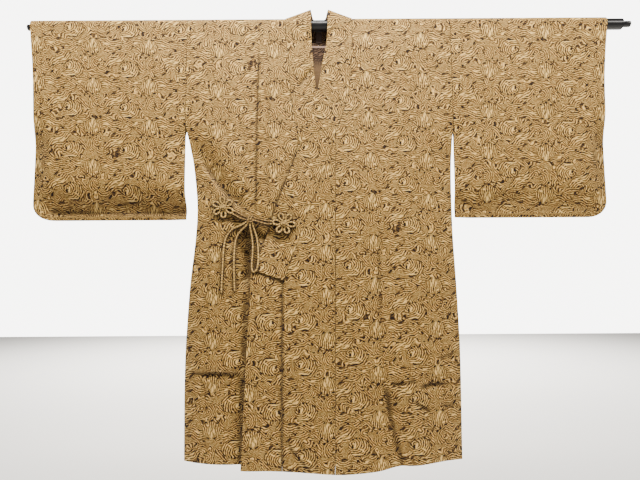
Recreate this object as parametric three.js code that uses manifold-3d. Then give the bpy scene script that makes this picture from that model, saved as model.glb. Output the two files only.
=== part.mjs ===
// A lined kimono travelling coat, tied at the side, hung on a black steel rod.
// Millimetres. The front faces -Y, +Z is up, and the viewer's right is +X, which is the wearer's left.
// The origin is on the rod's axis, at the middle of the coat.
import * as THREE from 'three';
import { mergeVertices } from 'three/addons/utils/BufferGeometryUtils.js';
import Module from 'manifold-3d';

const wasm = await Module();
wasm.setup();

// Cloth and rod
const BODY_WALL = 2.0;
const COLLAR_WALL = 3.0;
const LINING_WALL = 1.2;
const TAPE_WALL = 1.0;
const SEAM_GAP = 0.3;
const SEAT_GAP = 0.45;
const ROD_RADIUS = 12.5;
const ROD_END_RADIUS = 7;
const ROD_LEFT_X = 706;
const ROD_RIGHT_X = -663;
const ROD_TIP_LEFT_X = 725;
const ROD_TIP_RIGHT_X = -677;
const OVER_ROD = ROD_RADIUS + SEAT_GAP + BODY_WALL / 2;
const COLLAR_OVER_ROD = ROD_RADIUS + SEAT_GAP + COLLAR_WALL / 2;

// Cut of the coat
const ARMHOLE_X = 302;
const NECK_HALF = 77;
const NECK_DROP = 41;
const OKUMI_TIP = { x: 36, z: -268 };
const OKUMI_HEM_X = 28;
const INNER_TIP = { x: -48, z: -268 };
const INNER_HEM_X = -40;
const LAP_EDGE_TOP_X = -146;
const LAP_EDGE_HEM_X = -164;
const BAND_SEAM_X = -80;
const BAND_TOP_Z = -592;
const HEM_Z = -975;
const LAP_HALF = 2.5;
const LAP_FADE = 55;
const LAP_FROM_Z = -5;
const LAP_FULL_Z = -70;
const FOLDS_FULL_Z = -60;
const LAP_END_X = 175;
const SIDE_ROUNDING = 5;

// Depth of the coat level by level: y of the front's middle, the side seams and the back's middle.
// The cloth leans forward down to 780 below the rod, then falls back a little.
const LEVELS = [
  { z: 20, front: -OVER_ROD, side: 0, back: OVER_ROD, sideGap: OVER_ROD },
  { z: 0, front: -OVER_ROD, side: 0, back: OVER_ROD, sideGap: OVER_ROD },
  { z: -60, front: -17, side: 0, back: 14.5, sideGap: 14.6 },
  { z: -140, front: -20, side: 0, back: 13, sideGap: 15 },
  { z: -233, front: -26, side: -1, back: 11, sideGap: 13 },
  { z: -330, front: -32, side: -3, back: 8, sideGap: 1.4 },
  { z: -480, front: -40, side: -8, back: 2, sideGap: 1.4 },
  { z: -640, front: -48, side: -14, back: -7, sideGap: 1.4 },
  { z: -780, front: -53, side: -19, back: -15, sideGap: 1.4 },
  { z: -880, front: -50, side: -18, back: -14, sideGap: 1.4 },
  { z: -1010, front: -48, side: -16, back: -11, sideGap: 1.4 },
];

// Half width of the coat at each level, on the wearer's right and left
const WIDTHS = [
  { z: 20, right: 302, left: 302 },
  { z: -233, right: 302, left: 302 },
  { z: -285, right: 292, left: 299 },
  { z: -341, right: 282, left: 296 },
  { z: -430, right: 273, left: 294 },
  { z: -500, right: 275, left: 294 },
  { z: -600, right: 284, left: 297 },
  { z: -720, right: 289, left: 299 },
  { z: -830, right: 290, left: 298 },
  { z: -1010, right: 288, left: 296 },
];

// Height of the hem across each layer
const HEM_OUTER = [
  { x: -170, z: -976 },
  { x: -80, z: -979 },
  { x: 34, z: -986 },
  { x: 109, z: -981 },
  { x: 170, z: -972 },
  { x: 256, z: -966 },
  { x: 300, z: -967 },
];
const HEM_INNER = [
  { x: -300, z: -967 },
  { x: -168, z: -969 },
  { x: 0, z: -971 },
  { x: 190, z: -971 },
];
const HEM_BACK = [
  { x: -300, z: -967 },
  { x: -120, z: -972 },
  { x: 0, z: -970 },
  { x: 140, z: -973 },
  { x: 300, z: -967 },
];

// Largest folds of the fronts: depth is pushed in, a negative depth stands out
const FRONT_FOLDS = [
  { place: 'armhole drag fold', fromX: -290, fromZ: -262, toX: -148, toZ: -462, depth: 10, width: 20 },
  { place: 'roll above the drag fold', fromX: -262, fromZ: -232, toX: -140, toZ: -425, depth: -5, width: 24 },
  { place: 'pressed fold, right front', fromX: -128, fromZ: -20, toX: -133, toZ: -460, depth: -3, width: 20 },
  { place: 'hollow under the tie', fromX: -225, fromZ: -492, toX: -60, toZ: -496, depth: 6, width: 22 },
  { place: 'hollow beside the lap', fromX: -176, fromZ: -520, toX: -190, toZ: -1040, depth: 4, width: 22 },
  { place: 'level roll, right', fromX: -330, fromZ: -772, toX: -130, toZ: -772, depth: -5, width: 26 },
  { place: 'level crease, right', fromX: -330, fromZ: -812, toX: -130, toZ: -806, depth: 5, width: 22 },
  { place: 'long fold of the left front', fromX: 124, fromZ: -440, toX: 128, toZ: -830, depth: 4, width: 26 },
  { place: 'foot of the long fold', fromX: 122, fromZ: -760, toX: 170, toZ: -1060, depth: 9, width: 26 },
  { place: 'roll beside the long fold', fromX: 170, fromZ: -760, toX: 226, toZ: -1060, depth: -5, width: 30 },
  { place: 'level crease, left', fromX: 190, fromZ: -812, toX: 330, toZ: -800, depth: 4, width: 20 },
];

// Similar folds on the back, pushed in or standing out
const BACK_FOLDS = [
  { place: 'left armhole drag fold', fromX: 292, fromZ: -262, toX: 176, toZ: -420, depth: 6, width: 24 },
  { place: 'right armhole drag fold', fromX: -290, fromZ: -262, toX: -188, toZ: -400, depth: 6, width: 24 },
  { place: 'long fold, left', fromX: 168, fromZ: -360, toX: 150, toZ: -1060, depth: 6, width: 30 },
  { place: 'roll beside it', fromX: 108, fromZ: -420, toX: 88, toZ: -1060, depth: -4, width: 30 },
  { place: 'long fold, right', fromX: -150, fromZ: -420, toX: -172, toZ: -1060, depth: 5, width: 32 },
];

// Share of a fold's length over which it dies away at each end
const FOLD_ENDS = 0.25;
const FOLD_OVERRUN = 0.02;

// Sleeve: outer edge, depth of its two layers and the hollow along its foot
const SLEEVE_FOOT_Z = -452;
const SLEEVE_CORNER = 38;
const CUFF_FOOT_Z = -232;
const SLEEVE_CLOSED_HALF = 1.5;
const SLEEVE_EDGE = [
  { z: 20, x: 666 },
  { z: 0, x: 665 },
  { z: -80, x: 655 },
  { z: -160, x: 648 },
  { z: -300, x: 644 },
  { z: -460, x: 644 },
];
const SLEEVE_LEVELS = [
  { z: 0, front: -OVER_ROD, back: OVER_ROD },
  { z: -60, front: -14.6, back: 14.6 },
  { z: -140, front: -15, back: 14.4 },
  { z: -233, front: -14.5, back: 13 },
  { z: -320, front: -13.5, back: 11 },
  { z: -390, front: -12, back: 9.5 },
  { z: -425, front: -9, back: 9 },
  { z: -444, front: -8, back: 7 },
];
const SLEEVE_HOLLOW = { right: 15, left: 9, width: 19, z: -420, onBack: 0.45, ends: 0.12 };
// Inner edge of the sleeve below the armhole: open, but its two layers hang together
const SLEEVE_MOUTH = { y: -8, fromZ: -236, fullZ: -300, reach: 42 };

// Collar, square to its length. Rows run from the hidden end up the wearer's right front.
const COLLAR_INNER_LAP = [
  { place: 'hidden end', freeX: 128, freeZ: -571, sewnX: 65, sewnZ: -593 },
  { place: 'under the tie', freeX: 95, freeZ: -465, sewnX: 30, sewnZ: -487 },
  { place: 'inner lap', freeX: 70, freeZ: -388, sewnX: 5, sewnZ: -410 },
  { place: 'below the crossing', freeX: 34, freeZ: -303, sewnX: -31, sewnZ: -325 },
  { place: 'okumi tip', freeX: 12, freeZ: -244, sewnX: -48, sewnZ: -268 },
  { place: 'crossing', freeX: -5, freeZ: -167, sewnX: -62, sewnZ: -188 },
  { place: 'chest', freeX: -13, freeZ: -91, sewnX: -68, sewnZ: -100 },
  { place: 'collarbone', freeX: -16, freeZ: -50, sewnX: -73, sewnZ: -56 },
];
const COLLAR_OUTER_LAP = [
  { place: 'collarbone', freeX: 17, freeZ: -50, sewnX: 76, sewnZ: -56 },
  { place: 'chest', freeX: 9, freeZ: -91, sewnX: 73, sewnZ: -104 },
  { place: 'crossing', freeX: -4, freeZ: -165, sewnX: 62, sewnZ: -188 },
  { place: 'okumi tip', freeX: -27, freeZ: -246, sewnX: OKUMI_TIP.x, sewnZ: OKUMI_TIP.z },
  { place: 'below the crossing', freeX: -46, freeZ: -303, sewnX: 19, sewnZ: -326 },
  { place: 'outer lap', freeX: -78, freeZ: -388, sewnX: -13, sewnZ: -411 },
  { place: 'flower', freeX: -105, freeZ: -465, sewnX: -40, sewnZ: -488 },
  { place: 'square end', freeX: -140, freeZ: -570, sewnX: -77, sewnZ: -592 },
];
const COLLAR_ACROSS = 4;

// Collar over the shoulder and round the nape: steps 0 to 8 turn over the rod, 9 to 11 fall to the nape
const NECK_STEPS = { rod: 8, nape: 11 };
const NECK_ROWS = [
  { place: 'front of the rod', step: 0, freeX: 17, freeY: -20, freeZ: -4 },
  { place: 'rising', step: 2, freeX: 18, freeY: -16, freeZ: 24 },
  { place: 'top of the shoulder', step: 4, freeX: 18, freeY: -4, freeZ: 36 },
  { place: 'behind the shoulder', step: 6, freeX: 16, freeY: 8, freeZ: 34 },
  { place: 'back of the rod', step: 8, freeX: 13, freeY: 16, freeZ: 26 },
  { place: 'nape', step: 11, freeX: 0, freeY: 21.5, freeZ: 11 },
];
const NECK_LEAN = 1.18;
const LAP_EDGE_LIFT = 4.5;
const LAP_EDGE_REACH = 70;
const LAP_EDGE_FROM_Z = -500;
const LAP_EDGE_FULL_Z = -640;

// Flower knots, tie and cords
const CORD_RADIUS = 2.2;
const BUTTON_RADIUS = 8;
const PETAL = { loop: 6.2, reach: 15.5, stretch: 1.2, count: 6 };
const FLOWERS = [
  { name: 'flower_inner', x: -211, z: -432, turn: -0.44, wall: BODY_WALL, settle: 1.2 },
  { name: 'flower_outer', x: -77, z: -470, turn: -0.14, wall: COLLAR_WALL, settle: 0 },
];
const BUTTON_FLATNESS = 0.62;
const BUTTON_LIFT = 1.5;
const CORD_SIDES = 8;
const CORD_STEP = 10;
const KNOT = { x: -150, y: -42.5, z: -460, wide: 10, deep: 6.5, tall: 9, turnSize: 0.62, lean: 0.5 };

// Routes of the cords. A strand runs from a petal of its flower into the knot; tails and loop leave the knot.
const CORDS = {
  tie_strand_1: {
    from: 'flower_inner',
    route: [[-191, -31.8, -438.5], [-182, -33.8, -442], [-171, -37, -448.5], [-157, -41.5, -456]],
  },
  tie_strand_2: {
    from: 'flower_inner',
    route: [[-192.5, -32, -444.5], [-184, -34.2, -449.5], [-173, -38, -456], [-158, -42, -461]],
  },
  tie_strand_3: {
    from: 'flower_outer',
    route: [[-99.5, -45.6, -464], [-110, -46.8, -464.5], [-126, -45, -461], [-143, -42.5, -456.5]],
  },
  tie_strand_4: {
    from: 'flower_outer',
    route: [[-100, -45.6, -470], [-112, -47.2, -471], [-127, -46, -467], [-143.5, -43.5, -461.5]],
  },
  tie_tail_1: {
    route: [
      [-154.5, -42, -462.5], [-166, -42, -470.5], [-177, -39, -475], [-188, -35.8, -479.5],
      [-197, -34.4, -488], [-203.5, -35, -500], [-206.5, -37.2, -515], [-208, -39.2, -540],
      [-208.5, -40.5, -565], [-209.5, -41.8, -590], [-210, -43, -617],
    ],
  },
  tie_tail_2: {
    route: [
      [-152, -43, -463.5], [-158.5, -43.2, -473.5], [-167, -39.5, -481], [-176, -36, -490],
      [-181.5, -35.8, -503], [-183.3, -38.2, -516], [-184, -40, -530], [-184.3, -41.2, -552],
      [-183.5, -42, -581], [-182, -42.6, -613],
    ],
  },
  tie_loop: {
    route: [
      [-147.5, -42, -463.5], [-143.5, -41, -476], [-139.5, -40, -488], [-136, -39.5, -500],
      [-133.5, -42, -515], [-131.8, -46, -530], [-131, -51, -545], [-132, -53.4, -560],
      [-136, -54, -571], [-141, -53.3, -573.5], [-144.5, -50.8, -566], [-145.3, -47.5, -554],
      [-144.5, -44, -538], [-144.3, -41.5, -518], [-146, -40.5, -500], [-148.5, -42, -486],
      [-150, -44.8, -475], [-150, -43.5, -463.5],
    ],
  },
};

// Steps of the mesh
const FRONT_STEP = 32;
const BACK_STEP = 52;
const BODY_COLUMNS = 12;
const COLUMN_CROWDING = 1.2;
const OKUMI_COLUMNS = { outer: 5, inner: 8 };
const OKUMI_START = 7;
const COLLAR_END_STEP = 4;
const BAND_COLUMNS = 4;
const SLEEVE_COLUMNS = 9;
const SLEEVE_EDGE_STEPS = [0.01, 0.03, 0.065];
const CUFF_CLOSING = { reach: 45, above: 20, below: 60 };
const HEM_FROM_Z = -560;
const INNER_FRONT_TOP_X = 140;
const INNER_FRONT_HEM_X = 158;
const LINING = { halfWidth: 50, footZ: -185, rows: 5, columns: 3 };
const TAPE = { width: 14, footZ: -35, topZ: -2 };

const clamp = (value) => Math.min(1, Math.max(0, value));
const smooth = (from, to, value) => {
  const t = clamp((value - from) / (to - from));
  return t * t * (3 - 2 * t);
};
const mix = (a, b, t) => a + (b - a) * t;

// Smooth reading of one column of a table between its rows
function read(rows, key, value, column) {
  const last = rows.length - 1;
  const direction = Math.sign(rows[last][key] - rows[0][key]);
  let row = 0;
  while (row < last - 1 && direction * (value - rows[row + 1][key]) > 0) row += 1;
  const before = rows[Math.max(0, row - 1)];
  const here = rows[row];
  const next = rows[row + 1];
  const after = rows[Math.min(last, row + 2)];
  const span = next[key] - here[key];
  const t = clamp((value - here[key]) / span);
  const startSlope = (next[column] - before[column]) / (next[key] - before[key]);
  const endSlope = (after[column] - here[column]) / (after[key] - here[key]);
  const start = here[column] * (2 * t ** 3 - 3 * t ** 2 + 1) + next[column] * (3 * t ** 2 - 2 * t ** 3);
  return start + span * (startSlope * (t ** 3 - 2 * t ** 2 + t) + endSlope * (t ** 3 - t ** 2));
}

// How far the folds of a table move the cloth at a point
function foldDepth(folds, x, z) {
  let total = 0;
  for (const fold of folds) {
    const runX = fold.toX - fold.fromX;
    const runZ = fold.toZ - fold.fromZ;
    const length = Math.hypot(runX, runZ);
    const along = ((x - fold.fromX) * runX + (z - fold.fromZ) * runZ) / length ** 2;
    const across = ((x - fold.fromX) * runZ - (z - fold.fromZ) * runX) / length;
    const ends = smooth(-FOLD_OVERRUN, FOLD_ENDS, along) * smooth(1 + FOLD_OVERRUN, 1 - FOLD_ENDS, along);
    total += fold.depth * ends * Math.exp(-((across / fold.width) ** 2));
  }
  return total;
}

const halfWidth = (x, z) => Math.min(ARMHOLE_X, read(WIDTHS, 'z', z, x < 0 ? 'right' : 'left'));

// Surfaces of the cloth: the middle of each wall
function lensY(x, z, face, folds, outward) {
  const reach = clamp(Math.abs(x) / halfWidth(x, z));
  const open = 1 - reach ** SIDE_ROUNDING;
  const edge = read(LEVELS, 'z', z, 'side') + outward * read(LEVELS, 'z', z, 'sideGap');
  const middle = read(LEVELS, 'z', z, face);
  return mix(edge, middle, open) - outward * foldDepth(folds, x, z) * open * smooth(0, FOLDS_FULL_Z, z);
}
const lapDepth = (z) => LAP_HALF * smooth(LAP_FROM_Z, LAP_FULL_Z, z);
const frontY = (x, z) => lensY(x, z, 'front', FRONT_FOLDS, -1);
const backY = (x, z) => lensY(x, z, 'back', BACK_FOLDS, 1);
const innerLapY = (x, z) => frontY(x, z) + lapDepth(z) * smooth(-LAP_END_X - LAP_FADE, -LAP_END_X, x);
const lapEdgeX = (z) => mix(LAP_EDGE_TOP_X, LAP_EDGE_HEM_X, clamp((z - BAND_TOP_Z) / (HEM_Z - BAND_TOP_Z)));
function outerLapY(x, z) {
  const near = smooth(LAP_EDGE_REACH, 0, x - lapEdgeX(z));
  const lift = LAP_EDGE_LIFT * near * smooth(LAP_EDGE_FROM_Z, LAP_EDGE_FULL_Z, z);
  return frontY(x, z) - lapDepth(z) * smooth(LAP_END_X + LAP_FADE, LAP_END_X, x) - lift;
}

// Closed wall from a grid of points on its middle, columns running to +X and rows over the cloth.
// Its first and last columns are cut square across, so that the pieces meet edge to edge.
function wall(grid, thickness, wrapped = false) {
  const rows = grid.length;
  const columns = grid[0].length;
  const at = (i, j) => grid[wrapped ? (i + rows) % rows : Math.min(rows - 1, Math.max(0, i))][
    Math.min(columns - 1, Math.max(0, j))];
  const positions = [];
  for (const side of [0.5, -0.5]) {
    for (let i = 0; i < rows; i += 1) {
      for (let j = 0; j < columns; j += 1) {
        const across = at(i, j + 1).clone().sub(at(i, j - 1));
        const along = at(i + 1, j).clone().sub(at(i - 1, j));
        const normal = across.cross(along);
        if (j === 0 || j === columns - 1) normal.x = 0;
        normal.normalize();
        positions.push(...at(i, j).clone().addScaledVector(normal, side * thickness).toArray());
      }
    }
  }
  const inner = rows * columns;
  const index = (i, j) => (wrapped ? i % rows : i) * columns + j;
  const triangles = [];
  const rim = (p, q) => triangles.push(q, p, p + inner, q, p + inner, q + inner);
  const rowSpans = wrapped ? rows : rows - 1;
  for (let i = 0; i < rowSpans; i += 1) {
    for (let j = 0; j < columns - 1; j += 1) {
      const [a, b, c, d] = [index(i, j), index(i, j + 1), index(i + 1, j + 1), index(i + 1, j)];
      triangles.push(a, b, c, a, c, d);
      triangles.push(a + inner, c + inner, b + inner, a + inner, d + inner, c + inner);
    }
    rim(index(i, columns - 1), index(i + 1, columns - 1));
    rim(index(i + 1, 0), index(i, 0));
  }
  if (!wrapped) {
    for (let j = 0; j < columns - 1; j += 1) {
      rim(index(0, j), index(0, j + 1));
      rim(index(rows - 1, j + 1), index(rows - 1, j));
    }
  }
  const geometry = new THREE.BufferGeometry();
  geometry.setAttribute('position', new THREE.Float32BufferAttribute(positions, 3));
  geometry.setIndex(triangles);
  geometry.computeVertexNormals();
  return geometry;
}

// Back neckline, from the shoulder seam down to the centre back, falling by an angle
const necklineAt = (fall, gap) => ({
  x: (NECK_HALF + gap) * Math.cos(fall),
  z: -(NECK_DROP + gap) * Math.sin(fall),
});

// Collar over one shoulder, from the front of the rod to the nape. Side is -1 or 1.
function collarOverShoulder(side) {
  const rows = [];
  for (let step = 0; step <= NECK_STEPS.nape; step += 1) {
    const turn = THREE.MathUtils.degToRad(-90 + 180 * Math.min(1, step / NECK_STEPS.rod));
    const fall = (Math.PI / 2) * clamp((step - NECK_STEPS.rod) / (NECK_STEPS.nape - NECK_STEPS.rod));
    const { x, z } = necklineAt(fall, 0);
    const [overY, overZ] = [COLLAR_OVER_ROD * Math.sin(turn), COLLAR_OVER_ROD * Math.cos(turn)];
    const sewn = step <= NECK_STEPS.rod
      ? new THREE.Vector3(side * NECK_HALF, overY, overZ)
      : new THREE.Vector3(side * x, backY(side * x, z), z);
    const lean = side > 0 ? NECK_LEAN : 1;
    const free = new THREE.Vector3(
      side * lean * read(NECK_ROWS, 'step', step, 'freeX'),
      read(NECK_ROWS, 'step', step, 'freeY'),
      read(NECK_ROWS, 'step', step, 'freeZ'),
    );
    rows.push({ free, sewn });
  }
  return rows;
}

// Collar down one front: its rows lie on the lap below it, with one more row halfway between two
function collarDownFront(table, surface) {
  const curve = (edge) => new THREE.CatmullRomCurve3(
    table.map((row) => new THREE.Vector3(row[`${edge}X`], 0, row[`${edge}Z`])), false, 'centripetal');
  const [free, sewn] = [curve('free'), curve('sewn')];
  const rows = [];
  const steps = 2 * (table.length - 1);
  for (let step = 0; step <= steps; step += 1) {
    const row = { free: free.getPoint(step / steps), sewn: sewn.getPoint(step / steps), surface };
    row.free.y = surface(row.free.x, row.free.z);
    row.sewn.y = surface(row.sewn.x, row.sewn.z);
    rows.push(row);
  }
  return rows;
}

const innerCollar = collarDownFront(COLLAR_INNER_LAP, innerLapY);
const outerCollar = collarDownFront(COLLAR_OUTER_LAP, outerLapY);
const collarRows = [
  ...innerCollar, ...collarOverShoulder(-1), ...collarOverShoulder(1).slice(0, -1).reverse(), ...outerCollar,
];

function collarGrid() {
  return collarRows.map(({ free, sewn, surface }) => {
    const line = [];
    for (let k = 0; k <= COLLAR_ACROSS; k += 1) {
      const point = sewn.clone().lerp(free, k / COLLAR_ACROSS);
      if (surface) point.y = surface(point.x, point.z);
      line.push(point);
    }
    return line;
  });
}

// Rows of one front, from the shoulder to the hem: the height and where its panels begin
function frontRows(collar, tip, hemX) {
  const upper = collar.filter((row) => row.sewn.z > tip.z + 1)
    .map((row) => ({ z: row.sewn.z, x: row.sewn.x }));
  const rows = [{ z: 0, x: Math.sign(tip.x) * NECK_HALF }, ...upper.sort((a, b) => b.z - a.z)];
  const count = Math.round((tip.z - HEM_Z) / FRONT_STEP);
  for (let k = 0; k <= count; k += 1) {
    rows.push({ z: mix(tip.z, HEM_Z, k / count), x: mix(tip.x, hemX, k / count) });
  }
  return rows;
}

// Moves a level down or up to the hem of its layer, more and more towards the foot
const toHem = (x, z, hem) => z + (read(hem, 'x', x, 'z') - HEM_Z) * smooth(HEM_FROM_Z, HEM_Z, z);

// One half of the body: front, shoulder and back in one length
function bodyGrid(side, collar, tip, hemX, hem, surface) {
  const line = (inner, place) => {
    const points = [];
    for (let k = 0; k <= BODY_COLUMNS; k += 1) {
      points.push(place(1 - (1 - k / BODY_COLUMNS) ** COLUMN_CROWDING, inner));
    }
    return side > 0 ? points : points.reverse();
  };
  const grid = [];
  const front = frontRows(collar, tip, hemX);
  for (const row of front.slice(1).reverse()) {
    grid.push(line(row.x + side * SEAM_GAP, (t, inner) => {
      const x = mix(inner, side * halfWidth(side, row.z), t);
      const z = toHem(x, row.z, hem);
      return new THREE.Vector3(x, surface(x, z), z);
    }));
  }
  for (let step = 0; step <= NECK_STEPS.rod; step += 1) {
    const turn = THREE.MathUtils.degToRad(-90 + (180 * step) / NECK_STEPS.rod);
    grid.push(line(side * (NECK_HALF + SEAM_GAP), (t, inner) => new THREE.Vector3(
      mix(inner, side * ARMHOLE_X, t), OVER_ROD * Math.sin(turn), OVER_ROD * Math.cos(turn),
    )));
  }
  const back = [];
  for (let step = NECK_STEPS.rod + 1; step <= NECK_STEPS.nape; step += 1) {
    const fall = (Math.PI / 2) * ((step - NECK_STEPS.rod) / (NECK_STEPS.nape - NECK_STEPS.rod));
    const { x, z } = necklineAt(fall, SEAM_GAP);
    back.push({ z, x: Math.max(x, SEAM_GAP / 2) });
  }
  const foot = back[back.length - 1].z;
  const count = Math.round((foot - HEM_Z) / BACK_STEP);
  for (let k = 1; k <= count; k += 1) back.push({ z: mix(foot, HEM_Z, k / count), x: SEAM_GAP / 2 });
  for (const row of back) {
    grid.push(line(side * row.x, (t, inner) => {
      const x = mix(inner, side * halfWidth(side, row.z), t);
      const z = toHem(x, row.z, HEM_BACK);
      return new THREE.Vector3(x, backY(x, z), z);
    }));
  }
  return grid;
}

// Overlap panel below the collar, from its tip to the hem
function okumiGrid(collar, tip, hemX, edgeX, hem, surface, columns) {
  const side = Math.sign(tip.x);
  const seamX = (z) => mix(tip.x, hemX, (z - tip.z) / (HEM_Z - tip.z)) - (side * SEAM_GAP) / 2;
  const beside = collar.filter((row) => row.sewn.z < tip.z - 1).sort((a, b) => b.sewn.z - a.sewn.z);
  const first = beside[0].sewn;
  const start = OKUMI_START / (tip.z - first.z);
  const rows = [{ z: tip.z - OKUMI_START, free: mix(tip.x, first.x, start) + side * SEAM_GAP }];
  for (const { sewn } of beside) rows.push({ z: sewn.z, free: sewn.x + side * SEAM_GAP });
  rows[rows.length - 1].z -= SEAM_GAP;
  const foot = rows[rows.length - 1].z;
  const count = Math.round((foot - HEM_Z) / FRONT_STEP);
  for (let k = 0; k <= count; k += 1) {
    const z = mix(foot - COLLAR_END_STEP, HEM_Z, k / count);
    rows.push({ z, free: edgeX(z) });
  }
  return rows.reverse().map((row) => {
    const points = [];
    for (let k = 0; k <= columns; k += 1) {
      const x = mix(row.free, seamX(row.z), k / columns);
      const z = toHem(x, row.z, hem);
      points.push(new THREE.Vector3(x, surface(x, z), z));
    }
    return side > 0 ? points : points.reverse();
  });
}

// Upright band of the outer lap, from under the square end of the collar to the hem
function bandGrid() {
  const [corner, end] = [outerCollar[outerCollar.length - 1].free, outerCollar[outerCollar.length - 1].sewn];
  const topZ = (x) => mix(corner.z, end.z, (x - corner.x) / (end.x - corner.x)) - 2 * SEAM_GAP;
  const grid = [];
  const count = Math.round((BAND_TOP_Z - HEM_Z) / FRONT_STEP);
  for (let row = count; row >= 0; row -= 1) {
    const level = mix(BAND_TOP_Z, HEM_Z, row / count);
    const line = [];
    for (let k = 0; k <= BAND_COLUMNS; k += 1) {
      const x = mix(lapEdgeX(level), BAND_SEAM_X - SEAM_GAP / 2, k / BAND_COLUMNS);
      const z = mix(topZ(x), read(HEM_OUTER, 'x', x, 'z'), row / count);
      line.push(new THREE.Vector3(x, outerLapY(x, z), z));
    }
    grid.push(line);
  }
  return grid;
}

// Sleeve: a flat tube round the rod, from the armhole seam to the cuff. Side is -1 or 1.
function sleeveGrid(side) {
  const columns = [];
  for (let k = 0; k <= SLEEVE_COLUMNS; k += 1) columns.push(k / SLEEVE_COLUMNS);
  for (const reach of SLEEVE_EDGE_STEPS) columns.push(1 - reach);
  columns.sort((a, b) => a - b);
  columns.splice(columns.length - 1 - SLEEVE_EDGE_STEPS.length, 1);
  const hollow = side > 0 ? SLEEVE_HOLLOW.left : SLEEVE_HOLLOW.right;
  const width = (z) => read(SLEEVE_EDGE, 'z', z, 'x') - ARMHOLE_X - SEAM_GAP;
  const point = (t, z, face) => {
    const x = ARMHOLE_X + SEAM_GAP + width(z) * t;
    const near = smooth(CUFF_CLOSING.reach, 0, width(z) * (1 - t))
      * smooth(CUFF_FOOT_Z + CUFF_CLOSING.above, CUFF_FOOT_Z - CUFF_CLOSING.below, z);
    const mouth = smooth(SLEEVE_MOUTH.reach, 0, width(z) * t)
      * smooth(SLEEVE_MOUTH.fromZ, SLEEVE_MOUTH.fullZ, z);
    const middle = smooth(0, SLEEVE_HOLLOW.ends, t) * smooth(1, 1 - SLEEVE_HOLLOW.ends, t);
    const dent = hollow * middle * Math.exp(-(((z - SLEEVE_HOLLOW.z) / SLEEVE_HOLLOW.width) ** 2));
    const open = read(SLEEVE_LEVELS, 'z', z, face) + (face === 'front' ? dent : dent * SLEEVE_HOLLOW.onBack);
    const shut = face === 'front' ? -SLEEVE_CLOSED_HALF : SLEEVE_CLOSED_HALF;
    return new THREE.Vector3(side * x, mix(mix(open, shut, near), SLEEVE_MOUTH.y + shut, mouth), z);
  };
  const footZ = (t) => {
    const inside = Math.max(0, SLEEVE_CORNER - width(SLEEVE_FOOT_Z) * (1 - t));
    return SLEEVE_FOOT_Z + SLEEVE_CORNER - Math.sqrt(SLEEVE_CORNER ** 2 - inside ** 2);
  };
  const rows = [];
  const line = (place) => {
    const points = columns.map(place);
    rows.push(side > 0 ? points : points.reverse());
  };
  const lowest = SLEEVE_LEVELS.length - 1;
  for (let k = lowest; k > 0; k -= 1) {
    line((t) => point(t, SLEEVE_LEVELS[k].z * (footZ(t) / SLEEVE_FOOT_Z), 'front'));
  }
  for (let step = 0; step <= NECK_STEPS.rod; step += 1) {
    const turn = THREE.MathUtils.degToRad(-90 + (180 * step) / NECK_STEPS.rod);
    line((t) => new THREE.Vector3(
      side * (ARMHOLE_X + SEAM_GAP + width(0) * t), OVER_ROD * Math.sin(turn), OVER_ROD * Math.cos(turn),
    ));
  }
  for (let k = 1; k <= lowest; k += 1) {
    line((t) => point(t, SLEEVE_LEVELS[k].z * (footZ(t) / SLEEVE_FOOT_Z), 'back'));
  }
  line((t) => {
    const z = footZ(t);
    const [front, back] = [point(t, z, 'front'), point(t, z, 'back')];
    return new THREE.Vector3(back.x, (front.y + back.y) / 2, z);
  });
  return rows;
}

// Lining of the back where it shows in the neck, just inside the cloth
function liningGrid() {
  const inside = BODY_WALL / 2 + SEAM_GAP + LINING_WALL / 2;
  const grid = [];
  for (let row = LINING.rows; row >= 0; row -= 1) {
    const z = mix(-NECK_DROP - 2, LINING.footZ, row / LINING.rows);
    const line = [];
    for (let k = -LINING.columns; k <= LINING.columns; k += 1) {
      const x = (LINING.halfWidth * k) / LINING.columns;
      line.push(new THREE.Vector3(x, backY(x, z) - inside, z));
    }
    grid.push(line);
  }
  return grid;
}

// Hanging tape, flat on the inside of the collar at the nape
function tapeGrid() {
  const [beside, nape] = collarOverShoulder(1).slice(-2);
  const inside = COLLAR_WALL / 2 + 2 * SEAM_GAP + TAPE_WALL / 2;
  const half = TAPE.width / 2;
  const grid = [];
  for (const z of [TAPE.footZ, (TAPE.footZ + TAPE.topZ) / 2, TAPE.topZ]) {
    const onRow = (row) => row.sewn.clone().lerp(row.free, (z - row.sewn.z) / (row.free.z - row.sewn.z));
    const [middle, edge] = [onRow(nape), onRow(beside)];
    const edgeY = mix(middle.y, edge.y, half / edge.x);
    grid.push([-half, 0, half].map((x) => new THREE.Vector3(x, (x === 0 ? middle.y : edgeY) - inside, z)));
  }
  return grid;
}

// Booleans of closed meshes
function toSolid(geometry) {
  const bare = geometry.clone();
  bare.deleteAttribute('normal');
  bare.deleteAttribute('uv');
  const merged = mergeVertices(bare, 1e-4);
  return new wasm.Manifold(new wasm.Mesh({
    numProp: 3,
    vertProperties: new Float32Array(merged.attributes.position.array),
    triVerts: new Uint32Array(merged.index.array),
  }));
}
function toGeometry(solid) {
  const mesh = solid.getMesh();
  const geometry = new THREE.BufferGeometry();
  geometry.setAttribute('position', new THREE.BufferAttribute(new Float32Array(mesh.vertProperties), 3));
  geometry.setIndex(new THREE.BufferAttribute(new Uint32Array(mesh.triVerts), 1));
  geometry.computeVertexNormals();
  return geometry;
}
const join = (geometries) => toGeometry(geometries.map(toSolid).reduce((all, next) => all.add(next)));

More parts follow.
